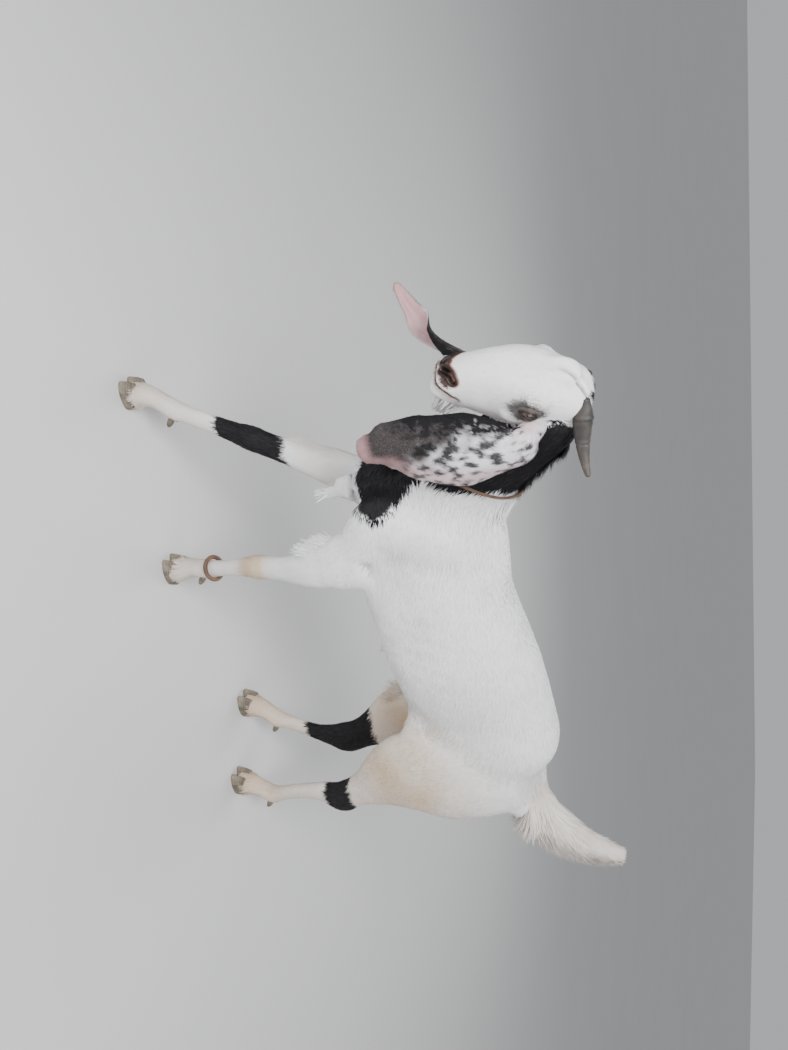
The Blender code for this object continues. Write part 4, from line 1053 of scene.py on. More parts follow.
@dataclass(frozen=True)
class CoatFinish:
    """The hair and skin of the goat, with its markings."""

    name: str
    white: Row = (0.80, 0.80, 0.81)
    shade: Row = (0.56, 0.56, 0.57)
    black: Row = (0.004, 0.004, 0.005)
    # a lighter black painted on the black hair as its sheen
    black_painted_sheen: Row = (0.016, 0.015, 0.017)
    tan: Row = (0.52, 0.365, 0.215)
    naked: Row = (0.34, 0.17, 0.135)
    # dark specks and skin, also the painted shade round the eyes and along the parting
    fleck_and_shade: Row = (0.017, 0.010, 0.008)
    rough: float = 0.8
    strands: bool = False

    def material(self) -> Material:
        """Make the material."""
        graph = Graph(self.name)
        black, tan, bare = graph.layer("marks")
        fleck_and_shade = graph.layer_alpha("marks")
        where = graph.place()
        cloud = graph.noise(where, 9.0, 3.0)
        if self.strands:
            tip, luck, _ = graph.layer("strand")
        else:
            tip, luck = graph.noise(where, 60.0), graph.noise(where, 400.0, 3.0)
        pale = graph.mix((cloud.step(0.42, 0.78) * 0.38 + luck * 0.30).clamped(), self.white, self.shade)
        warm = graph.mix((tan * (0.60 + luck * 0.4)).clamped(), pale, self.tan)
        # painted sheen: the black hair is lighter towards the tufts' tips and at random
        deep = graph.mix((tip * 0.4 + luck * 0.4).clamped(), self.black, self.black_painted_sheen)
        hair = graph.mix(black, warm, deep)
        # dark specks, with painted shade round the eyes and along the parting
        hair_flecked_and_shaded = graph.mix((fleck_and_shade * 0.9).clamped(), hair, self.fleck_and_shade)
        mottle = graph.noise(where, 260.0, 3.0).step(0.45, 0.75) * 0.35
        skin = graph.mix((fleck_and_shade + mottle).clamped(), self.naked, self.fleck_and_shade)
        colour = graph.mix(bare, hair_flecked_and_shaded, skin)
        if self.strands:
            return graph.surface(colour, self.rough, Specular_IOR_Level=0.15)
        streaks = graph.noise(graph.place((900.0, 140.0, 420.0)), 1.0, 3.0)
        relief = graph.bump(streaks + graph.cells(where, 420.0) * 0.3, 0.0006, 0.6)
        return graph.surface(colour, self.rough - bare * 0.35, Normal=relief, Specular_IOR_Level=0.3)


@dataclass(frozen=True)
class EyeFinish:
    """A wet amber eye with a level slit for its pupil."""

    iris: Row = (0.075, 0.038, 0.013)
    rim: Row = (0.020, 0.010, 0.006)
    pupil: Row = (0.004, 0.004, 0.006)

    def material(self) -> Material:
        """Make the material."""
        graph = Graph("wet_eye")
        across, height, _ = graph.layer("gaze")
        along, rise = across - 0.5, height - 0.5
        reach = (along * along + rise * rise) ** 0.5
        spokes = graph.noise(graph.place(), 900.0, 3.0)
        ball = graph.mix(spokes, self.iris, self.rim)
        ball = graph.mix(reach.step(0.26, 0.40), ball, self.rim)
        slit = (along * along * 12.0 + rise * rise * 80.0).step(1.25, 0.75)
        return graph.surface(graph.mix(slit, ball, self.pupil), 0.06, Coat_Weight=1.0, Coat_Roughness=0.03)


@dataclass(frozen=True)
class HornFinish:
    """Ringed grey-brown keratin for horns and claws."""

    name: str
    dark: Row
    pale: Row
    streak: Row = (60.0, 60.0, 60.0)
    rough: float = 0.45

    def material(self) -> Material:
        """Make the material."""
        graph = Graph(self.name)
        cloud = graph.noise(graph.place(self.streak), 1.0, 4.0, 0.6)
        fine = graph.noise(graph.place(), 700.0, 3.0)
        worn, _, _ = graph.layer("wear")
        colour = graph.mix((cloud.step(0.3, 0.8) * 0.6 + worn * 0.6).clamped(), self.dark, self.pale)
        relief = graph.bump(fine * 0.5 + cloud, 0.0006, 0.8)
        return graph.surface(colour, self.rough + fine * 0.2, Normal=relief)


@dataclass(frozen=True)
class BandFinish:
    """Worn cord or dull moulded band."""

    name: str
    dark: Row
    pale: Row
    rough: float
    grain: float

    def material(self) -> Material:
        """Make the material."""
        graph = Graph(self.name)
        where = graph.place()
        fuzz = graph.noise(where, self.grain, 4.0)
        colour = graph.mix(graph.noise(where, 45.0, 3.0).step(0.3, 0.7), self.dark, self.pale)
        relief = graph.bump(fuzz, 0.0004, 0.9)
        return graph.surface(graph.mix(fuzz * 0.4, colour, self.dark), self.rough, Normal=relief)


@dataclass(frozen=True)
class EarFinish:
    """The ears' leather and down: dark front edges, mottled middles and bare pink tips."""

    name: str
    white: Row = (0.66, 0.64, 0.67)
    black: Row = (0.006, 0.006, 0.007)
    grey: Row = (0.024, 0.018, 0.017)
    pink: Row = (0.46, 0.27, 0.28)
    strands: bool = False

    def material(self) -> Material:
        """Make the material."""
        graph = Graph(self.name)
        where = graph.place()
        black, grey, pink = graph.layer("marks")
        fine = graph.noise(where, 420.0, 3.0)
        mottle = graph.noise(where, 70.0, 3.0)
        colour = graph.mix(mottle.step(0.4, 0.8) * 0.4, self.white, (0.42, 0.38, 0.40))
        colour = graph.mix((grey * (0.86 + fine * 0.2)).clamped(), colour, self.grey)
        colour = graph.mix((pink * (0.6 + mottle * 0.7)).clamped(), colour, self.pink)
        colour = graph.mix((black * (1.05 + fine * 0.3)).clamped(), colour, self.black)
        if self.strands:
            _, luck, _ = graph.layer("strand")
            return graph.surface(graph.mix(luck * 0.10, colour, self.grey), 0.8, Specular_IOR_Level=0.15)
        veins = graph.noise(graph.place((60.0, 60.0, 14.0)), 1.0, 4.0, 0.8)
        relief = graph.bump(graph.noise(where, 700.0, 4.0) * 0.5 + veins, 0.0009, 0.8)
        return graph.surface(colour, 0.62, Normal=relief, Specular_IOR_Level=0.18)


# Meshes


def add_object(name: str, data: bpy.types.ID) -> bpy.types.Object:
    """A new object in the scene."""
    made = bpy.data.objects.new(name, data)
    bpy.context.scene.collection.objects.link(made)
    return made


def publish(name: str, mesh: Mesh, material: Material) -> bpy.types.Object:
    """Set a finished mesh over the origin as a piece of the goat.

    Args:
        name: The piece's name.
        mesh: Its mesh in the goat's space.
        material: Its finish.

    Returns:
        The new object.
    """
    mesh.transform(Matrix.Translation(SHIFT))
    mesh.materials.clear()
    mesh.materials.append(material)
    mesh.shade_smooth()
    made = add_object(name, mesh)
    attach(made, "root")
    LOG.info("%s: %d faces", name, len(mesh.polygons))
    return made


def paint_layer(mesh: Mesh, name: str, colours: Array) -> None:
    """Store four numbers a point as a painted layer."""
    layer = mesh.color_attributes.new(name, "FLOAT_COLOR", "POINT")
    layer.data.foreach_set("color", np.ascontiguousarray(colours, np.float32).ravel())


def mesh_from(shape: Shape, name: str) -> Mesh:
    """Turn a mesh being built into a mesh, with its faces outwards."""
    bmesh.ops.recalc_face_normals(shape, faces=shape.faces)
    mesh = bpy.data.meshes.new(name)
    shape.to_mesh(mesh)
    shape.free()
    return mesh


def vectors_of(items: bpy.types.bpy_prop_collection, name: str) -> Array:
    """One vector of each item of a mesh, as rows."""
    made = np.empty(len(items) * 3, np.float32)
    items.foreach_get(name, made)
    return made.reshape(-1, 3).astype(float)


def points_of(mesh: Mesh) -> Array:
    """The places of a mesh's points."""
    return vectors_of(mesh.vertices, "co")


def normals_of(mesh: Mesh) -> Array:
    """The normals of a mesh's points."""
    return vectors_of(mesh.vertex_normals, "vector")


def relax(shape: Shape, verts: Sequence, rounds: int, factors: Row) -> None:
    """Draw points towards their neighbours, and back again by a negative factor.

    Args:
        shape: The mesh being built.
        verts: The points that move.
        rounds: How often it is done.
        factors: How far they go in each step of a round.
    """
    axes = {f"use_axis_{axis}": True for axis in "xyz"}
    for _ in range(rounds):
        for factor in factors:
            bmesh.ops.smooth_vert(shape, verts=verts, factor=factor, **axes)


def unit(vectors: Array) -> Array:
    """The rows made one long."""
    return vectors / np.maximum(np.linalg.norm(vectors, axis=1, keepdims=True), 1e-9)


@dataclass
class Skin:
    """The goat's whole skin, grown from its forms and sculpted."""

    voxel: float = 0.0043
    coat_depth: float = 0.0012
    even: Row = (0.5, -0.52)
    slacken: Row = (0.5, -0.15)
    even_rounds: int = 4
    trunk_rounds: int = 54
    head_rounds: int = 3
    flow_rounds: int = 24
    # how far the features of the face are sunk or stand out
    mouth_depth: float = 0.0034
    lip_height: float = 0.0015
    nostril_depth: float = 0.0085
    rim_height: float = 0.0018
    horn_ridge: float = 0.0040
    nose_groove: float = 0.0016
    parting_depth: float = 0.0100
    brow_flat: float = 0.0050
    # how near an eye and how far down the face the skin gets finer: the head, the features, the lids
    fine_parts: Sequence[Row] = ((0.0, -1.0), (0.032, 0.168), (0.019, 0.198))
    trunk: Trunk = field(default_factory=Trunk)
    neck: Neck = field(default_factory=Neck)
    skull: Skull = field(default_factory=Skull)
    legs: Legs = field(default_factory=Legs)
    tail: Tail = field(default_factory=Tail)
    flow: Flow = field(default_factory=Flow)
    mesh: Mesh | None = None
    lies: Array | None = None
    regions: Array | None = None
    places: Array | None = None
    marks: Array | None = None

    def grow(self) -> None:
        """Join all forms into one closed skin with fine faces on the head."""
        shape = bmesh.new()
        for part in (self.trunk, self.neck, self.skull, self.legs, self.tail):
            for piece in part.pieces(self.flow):
                piece.into(shape)
        whole = add_object("grown", mesh_from(shape, "forms"))
        remesh = whole.modifiers.new("grow", "REMESH")
        remesh.mode = "VOXEL"
        remesh.voxel_size = self.voxel
        graph = bpy.context.evaluated_depsgraph_get()
        grown = bpy.data.meshes.new_from_object(whole.evaluated_get(graph))
        bpy.data.objects.remove(whole)
        shape = bmesh.new()
        shape.from_mesh(grown)
        self.keep_largest(shape)
        relax(shape, shape.verts, self.even_rounds, self.even)
        broad = [vert for vert in shape.verts if self.on_trunk(vert.co)]
        relax(shape, broad, self.trunk_rounds, self.slacken)
        for around_eye, muzzle in self.fine_parts:
            edges = [
                edge
                for edge in shape.edges
                if all(self.near_face(vert.co, around_eye, muzzle) for vert in edge.verts)
            ]
            bmesh.ops.subdivide_edges(shape, edges=edges, cuts=1, use_grid_fill=True, smooth=0.0)
        bmesh.ops.triangulate(shape, faces=[face for face in shape.faces if len(face.verts) > 4])
        faced = [vert for vert in shape.verts if self.near_head(vert.co)]
        relax(shape, faced, self.head_rounds, self.slacken[:1])
        self.mesh = mesh_from(shape, "skin")

    @staticmethod
    def keep_largest(shape: Shape) -> None:
        """Drop every closed surface but the largest."""
        unseen = set(shape.verts)
        groups = []
        while unseen:
            start = unseen.pop()
            group, edge = {start}, [start]
            while edge:
                for link in edge.pop().link_edges:
                    for other in link.verts:
                        if other in unseen:
                            unseen.remove(other)
                            group.add(other)
                            edge.append(other)
            groups.append(group)
        keep = max(groups, key=len)
        spare = [vert for vert in shape.verts if vert not in keep]
        bmesh.ops.delete(shape, geom=spare, context="VERTS")

    @staticmethod
    def on_trunk(point: Vector) -> bool:
        """Whether a point is on the broad forms of trunk, thighs and shoulders."""
        hanging = abs(point.x) < 0.034 and point.z < 0.57 and -0.05 < point.y
        return 0.43 < point.z and -0.72 < point.y < 0.055 and not hanging

    @staticmethod
    def near_head(point: Vector) -> bool:
        """Whether a point is on the head."""
        place = HEAD.inverted() @ point
        return place.z > -0.060 and -0.026 < place.y < 0.26 and abs(place.x) < 0.070

    @staticmethod
    def near_face(point: Vector, around_eye: float, muzzle: float) -> bool:
        """Whether a point is round an eye or far enough down the head.

        Args:
            point: A place in the goat's space.
            around_eye: How near to the middle of an eye it may be.
            muzzle: How far down the face it has to be.

        Returns:
            True where the skin needs finer faces.
        """
        if any((point - eye_place(turn)).length < around_eye for turn in SIDES.values()):
            return True
        return (HEAD.inverted() @ point).y > muzzle and Skin.near_head(point)

    def read_flow(self) -> None:
        """Give every point of the skin its region, unwrap place and the hair's direction."""
        tree = self.flow.tree()
        points = points_of(self.mesh)
        found = np.array([tree.find(Vector(point))[1] for point in points])
        self.regions = np.array(self.flow.regions)[found]
        places = np.array(self.flow.places)[found]
        angles = places[:, 0] * 2 * math.pi
        lies = np.array(self.flow.lies)[found]
        fields = np.column_stack((lies, np.cos(angles), np.sin(angles), places[:, 1]))
        edges = np.empty(len(self.mesh.edges) * 2, np.int32)
        self.mesh.edges.foreach_get("vertices", edges)
        start, end = edges.reshape(-1, 2).T
        links = 1 + np.bincount(start, minlength=len(points)) + np.bincount(end, minlength=len(points))
        for _ in range(self.flow_rounds):
            total = fields.copy()
            for column in range(fields.shape[1]):
                total[:, column] += np.bincount(start, fields[end, column], len(points))
                total[:, column] += np.bincount(end, fields[start, column], len(points))
            fields = total / links[:, None]
        normals = normals_of(self.mesh)
        lies = fields[:, :3] - normals * np.sum(fields[:, :3] * normals, axis=1, keepdims=True)
        self.lies = unit(lies)
        around = np.arctan2(fields[:, 4], fields[:, 3]) / (2 * math.pi) % 1.0
        self.places = np.column_stack((around, fields[:, 5]))

    def sculpt(self) -> None:
        """Raise folds, tendons and the features of the face, and sink the skin under its coat."""
        points, normals = points_of(self.mesh), normals_of(self.mesh)
        moved = points - normals * self.coat_depth
        moved += normals * (speckle(points, 34) * 0.0009 + speckle(points, 90, 4.0) * 0.0003)[:, None]
        moved += normals * self.body_relief(points)[:, None]
        moved += normals * self.face_relief(points)[:, None]
        for socket in SOCKETS:
            moved = socket.shape(moved)
        self.mesh.vertices.foreach_set("co", moved.astype(np.float32).ravel())
        self.mesh.update()

    def body_relief(self, points: Array) -> Array:
        """How far tendons and ribs stand out at each point, in metres."""
        forward, up = -points[:, 1], points[:, 2]
        outward = np.abs(points[:, 0])
        ribs = np.sin((forward * 1.0 + up * 0.35) * 2 * math.pi / 0.034)
        flank = bell((forward, 0.42, 0.09), (up, 0.62, 0.06))
        trunk = self.regions == Region.TRUNK.value
        made = ribs * flank * 0.0005 * trunk * (outward > 0.05)
        shin = np.clip((0.24 - up) / 0.05, 0, 1) * np.clip((up - 0.115) / 0.02, 0, 1)
        lengthways = np.cos(self.places[:, 0] * 4 * math.pi)
        made += shin * lengthways * -0.0010 * (self.regions >= Region.FORE_LEFT.value)
        return made

    def face_relief(self, points: Array) -> Array:
        """How far the lips, nostrils and ridges of the face stand out or in."""
        head = to_head(points)
        right, down, out = head.T
        on_head = self.regions == Region.HEAD.value
        made = np.zeros(len(points))
        mouth = mouth_line(down)
        line = bell((out, mouth, 0.0018)) * blur_step(down, 0.190, 0.006)
        made -= line * self.mouth_depth
        lips = bell((np.abs(out - mouth + 0.001), 0.0058, 0.0034)) * blur_step(down, 0.194, 0.014)
        made += lips * self.lip_height
        for turn in SIDES.values():
            reach = nostril_reach(head, turn)
            made -= (1 - blur_step(reach, 0.0046, 0.0032)) * self.nostril_depth
            made += bell((reach, 0.0075, 0.0022)) * self.rim_height
            ridge = bell((right * -turn, 0.016, 0.009), (down, 0.020, 0.036))
            made += ridge * self.horn_ridge * (out > 0)
        groove = bell((right, 0, 0.0040)) * bell((down, 0.242, 0.014))
        made -= groove * self.nose_groove
        part = right - 0.002 + 0.40 * (0.040 - down)
        parting = bell((part, 0, 0.0050)) * np.exp(-(((down - 0.012) / 0.030) ** 4)) * (out > 0)
        made -= parting * self.parting_depth
        far_brow = bell((right, 0.056, 0.014), (down, 0.062, 0.030), (out, 0.034, 0.016))
        made -= far_brow * self.brow_flat
        return made * on_head

    def make(self) -> None:
        """Grow, read, sculpt and paint the skin."""
        self.grow()
        self.read_flow()
        self.sculpt()
        paint_layer(self.mesh, "marks", MARKINGS.paint(points_of(self.mesh), self.regions))


class Length(Enum):
    """How long the hair is on each region, in metres."""

    TRUNK = 0.021
    NECK = 0.018
    HEAD = 0.0075
    LEG = 0.012
    TAIL = 0.060
    SCROTUM = 0.008


@dataclass
class Hairs:
    """Many roots with all that a tuft needs to grow from them."""

    roots: Array
    normals: Array
    lies: Array
    lengths: Array
    widths: Array
    lifts: Array
    falls: Array
    marks: Array
    places: Array

    def part(self, chosen: Array) -> "Hairs":
        """Only the chosen roots."""
        return Hairs(*(getattr(self, name)[chosen] for name in self.__dataclass_fields__))

    def joined(self, other: "Hairs") -> "Hairs":
        """These roots and the other ones."""
        names = self.__dataclass_fields__
        return Hairs(*(np.concatenate((getattr(self, name), getattr(other, name))) for name in names))

    def __len__(self) -> int:
        """How many roots there are."""
        return len(self.roots)


@dataclass
class TuftMesh:
    """The meshes of many thin tapered tufts, each a closed flat blade that bends along its lie."""

    patch: float = 0.003
    bend: float = 0.10
    sunk: float = 0.0010
    ridge: float = 0.40
    rounding: float = 0.9
    stations: Sequence[Row] = (
        # share of the length, share of the width, share of the lift
        (0.0, 1.0, 0.0),
        (0.5, 0.85, 0.75),
    )

    def build(self, hairs: Hairs, name: str, draw: Draw) -> Mesh:
        """Make one mesh of all tufts.

        Args:
            hairs: The roots and sizes.
            name: The mesh's name.
            draw: The random numbers.

        Returns:
            The mesh, with its painted layers and unwrap.
        """
        rings = len(self.stations)
        # every station has two edges and a ridge between them, and the last point is the tip
        share, broad, rise = np.array([*np.repeat(self.stations, 3, axis=0), (1.0, 0.0, 1.0)]).T
        flat = np.column_stack(([0.0, 1.0, 0.5] * rings + [0.5], share))
        aside = (flat[:, 0] - 0.5) * broad
        above = np.array([0.0, 0.0, 0.5] * rings + [0.0]) * broad * self.ridge
        sizes = (hairs.lengths, hairs.widths, hairs.lifts, hairs.falls)
        lengths, widths, lifts, falls = (size[:, None] for size in sizes)
        sway = draw.normal(0, self.bend, len(hairs))[:, None] * share * share
        sides = np.cross(hairs.normals, hairs.lies)
        stand = lifts * rise - self.sunk * (share == 0) + widths * above
        verts = hairs.roots[:, None] + hairs.lies[:, None] * (lengths * share)[:, :, None]
        verts += sides[:, None] * (lengths * sway + widths * aside)[:, :, None]
        verts += hairs.normals[:, None] * stand[:, :, None]
        verts -= np.array(UP) * (lengths * falls * share * share)[:, :, None]
        return self.to_mesh(hairs, name, verts, flat, draw)

    def faces(self) -> tuple[Array, Array, Array]:
        """The faces of one tuft.

        Returns:
            The points of all faces in a row, each face's count of them, and which lie beneath.
        """
        corners, counts, under = [], [], []
        edges = ((0, 1), (1, 2), (2, 0))
        last = len(self.stations) * 3 - 3
        for low in range(0, last, 3):
            for a, b in edges:
                corners += [low + a, low + b, low + 3 + b, low + 3 + a]
                counts.append(4)
                under += [a == 0] * 4
        for a, b in edges:
            corners += [last + a, last + b, last + 3]
            under += [a == 0] * 3
        # the three sides that end in the tip and the root's own face have three corners each
        corners += [2, 1, 0]
        counts += [3] * 4
        under += [False] * 3
        return np.array(corners), np.array(counts), np.array(under)

    def to_mesh(self, hairs: Hairs, name: str, verts: Array, flat: Array, draw: Draw) -> Mesh:
        """Write all tufts into a mesh.

        Args:
            hairs: The roots and sizes.
            name: The mesh's name.
            verts: The points of each tuft.
            flat: How far across and along a tuft its points are.
            draw: The random numbers.

        Returns:
            The mesh, with its painted layers and unwrap.
        """
        count, per = verts.shape[:2]
        corners, counts, under = self.faces()
        loops = (corners[None, :] + np.arange(count)[:, None] * per).ravel()
        starts = np.concatenate(([0], np.cumsum(np.tile(counts, count))[:-1]))
        mesh = bpy.data.meshes.new(name)
        mesh.vertices.add(count * per)
        mesh.vertices.foreach_set("co", verts.astype(np.float32).ravel())
        mesh.loops.add(len(loops))
        mesh.loops.foreach_set("vertex_index", loops.astype(np.int32))
        mesh.polygons.add(len(starts))
        mesh.polygons.foreach_set("loop_start", starts.astype(np.int32))
        mesh.update(calc_edges=True)
        unwrap = mesh.uv_layers.new(name="OFBake")
        spots = hairs.places[:, None, :] + (flat - 0.5) * self.patch
        unwrap.data.foreach_set("uv", spots.reshape(-1, 2)[loops].astype(np.float32).ravel())
        paint_layer(mesh, "marks", np.repeat(hairs.marks, per, axis=0))
        luck = np.repeat(draw.random(count), per)
        paint_layer(mesh, "strand", np.stack((np.tile(flat[:, 1], count), luck, luck, luck), axis=1))
        outs = hairs.normals[:, None, :] * np.where(under, -1.0, 1.0)[None, :, None]
        across = (flat[corners, :1] - 0.5) * self.rounding
        sides = np.cross(hairs.normals, hairs.lies)[:, None, :]
        mesh.normals_split_custom_set(unit((outs + sides * across).reshape(-1, 3)).tolist())
        return mesh


@dataclass
class Coat:
    """The goat's coat, cut into pieces by region."""

    skin: Skin
    seed: int = 11
    limit: int = 18500
    stray: float = 0.10
    # from the least to the most, as shares of the wanted length, of a hair's length and of its lift
    length_range: Row = (0.75, 1.2)
    width_range: Row = (0.08, 0.12)
    lift_range: Row = (0.3, 1.7)
    sunk: float = 0.001
    # how bare the skin is where hair begins to thin, over what range, and how much shorter hair is there
    thin_from: float = 0.45
    thin_over: float = 0.5
    thin_short: float = 0.6

    def __post_init__(self) -> None:
        """Read what the skin's faces need for growing hair."""
        mesh = self.skin.mesh
        mesh.calc_loop_triangles()
        corners = np.empty(len(mesh.loop_triangles) * 3, np.int32)
        mesh.loop_triangles.foreach_get("vertices", corners)
        self.corners = corners.reshape(-1, 3)
        self.points = points_of(mesh)
        self.normals = normals_of(mesh)
        a, b, c = (self.points[self.corners[:, i]] for i in range(3))
        self.areas = np.linalg.norm(np.cross(b - a, c - a), axis=1) / 2
        self.draw = np.random.default_rng(self.seed)
        tree_faces = [tuple(row) for row in self.corners.tolist()]
        self.tree = BVHTree.FromPolygons([Vector(p) for p in self.points], tree_faces)

    def scatter(self, regions: Sequence[Region], spacing: float) -> tuple[Array, Array]:
        """Pick faces and places in them, evenly over the regions.

        Args:
            regions: Where hair grows.
            spacing: The mean distance between roots.

        Returns:
            The face numbers and the corner shares of each root.
        """
        wanted = np.isin(self.skin.regions[self.corners[:, 0]], [region.value for region in regions])
        weights = self.areas * wanted
        count = int(weights.sum() / spacing**2)
        faces = self.draw.choice(len(weights), count, p=weights / weights.sum())
        shares = self.draw.random((count, 2))
        shares = np.where(shares.sum(axis=1, keepdims=True) > 1, 1 - shares, shares)
        shares = np.column_stack((1 - shares.sum(axis=1), shares))
        return faces, shares

    def blend(self, values: Array, faces: Array, shares: Array) -> Array:
        """Values of the skin's points read inside faces."""
        return np.sum(values[self.corners[faces]] * shares[:, :, None], axis=1)

    def grow(self, regions: Sequence[Region], length: float, spacing: float, lift: float) -> Hairs:
        """Roots and sizes of the short hair of some regions.

        Args:
            regions: Where it grows.
            length: The hair's length.
            spacing: The mean distance between roots.
            lift: How far the tips stand off, as a share of the length.

        Returns:
            The roots with their sizes.
        """
        faces, shares = self.scatter(regions, spacing)
        roots = self.blend(self.points, faces, shares)
        normals = unit(self.blend(self.normals, faces, shares))
        lies = self.blend(self.skin.lies, faces, shares)
        lies += self.draw.normal(0, self.stray, lies.shape)
        lies -= normals * np.sum(lies * normals, axis=1, keepdims=True)
        lies = unit(lies)
        owners = self.skin.regions[self.corners[faces, 0]]
        marks = MARKINGS.paint(roots, owners)
        keep = marks[:, 2] < self.thin_from + self.thin_over * self.draw.random(len(roots))
        count = len(roots)
        lengths = length * self.draw.uniform(*self.length_range, count) * (1 - self.thin_short * marks[:, 2])
        widths = lengths * self.draw.uniform(*self.width_range, count)
        lifts = lengths * lift * self.draw.uniform(*self.lift_range, count)
        corners = self.corners[faces]
        places = self.skin.places[corners[:, 0]]
        blended = self.blend(self.skin.places, faces, shares)
        torn = np.ptp(self.skin.places[corners][:, :, 0], axis=1) > 0.5
        places = np.where(torn[:, None], places, blended)
        made = Hairs(roots, normals, lies, lengths, widths, lifts, np.zeros(count), marks, places)
        return self.settle(made.part(keep))

    def from_points(
        self, roots: Sequence[Vector], lies: Sequence[Vector], sizes: Row, lift: float, region: Region
    ) -> Hairs:
        """Long hairs from chosen places, each put on the nearest skin.

        Args:
            roots: Where hairs are wanted.
            lies: The direction of each.
            sizes: The length, its spread, the width and the fall towards the tip.
            lift: How far the tips stand off, as a share of the length.
            region: The part of the body that the roots are on.

        Returns:
            The roots with their sizes.
        """
        length, spread_share, width, fall = sizes
        count = len(roots)
        near = [self.tree.find_nearest(root) for root in roots]
        spots = np.array([hit[0] for hit in near])
        normals = np.array([hit[1] for hit in near])
        lies = unit(np.array(lies) + self.draw.normal(0, 0.05, (count, 3)))
        corners = self.corners[[hit[2] for hit in near]][:, 0]
        outs = unit(normals - lies * np.sum(normals * lies, axis=1, keepdims=True))
        lengths = length * (1 + self.draw.uniform(-spread_share, spread_share, count))
        widths = width * self.draw.uniform(0.7, 1.3, count)
        marks = MARKINGS.paint(spots, np.full(count, region.value))
        places = self.skin.places[corners]
        falls = np.full(count, fall)
        roots = spots - normals * self.sunk
        return Hairs(roots, outs, lies, lengths, widths, lengths * lift, falls, marks, places)

    def settle(self, hairs: Hairs) -> Hairs:
        """Bend each tuft's lie so that its tip follows the skin."""
        for i in range(len(hairs)):
            root = Vector(hairs.roots[i])
            tip = root + Vector(hairs.lies[i]) * hairs.lengths[i]
            near = self.tree.find_nearest(tip)[0]
            lie = np.array(near - root)
            size = np.linalg.norm(lie)
            if size > 1e-5:
                hairs.lies[i] = lie / size
        return hairs

    def dress(self, name: str, hairs: Hairs, material: Material, tufts: TuftMesh) -> list:
        """Publish the hairs as pieces that each stay under the limit of faces.

        Args:
            name: The pieces' name.
            hairs: All roots.
            material: The hair's finish.
            tufts: How a tuft is built.

        Returns:
            The new objects.
        """
        total = len(hairs)
        count = max(1, math.ceil(total / self.limit))
        order = np.argsort(hairs.roots[:, 1], kind="stable")
        made = []
        for i, chosen in enumerate(np.array_split(order, count)):
            part = hairs.part(chosen)
            low, high = part.places.min(axis=0), part.places.max(axis=0)
            part.places = 0.02 + 0.96 * (part.places - low) / np.maximum(high - low, 1e-6)
            mesh = tufts.build(part, f"{name}_{i + 1}", self.draw)
            made.append(publish(f"{name}_{i + 1}", mesh, material))
        return made


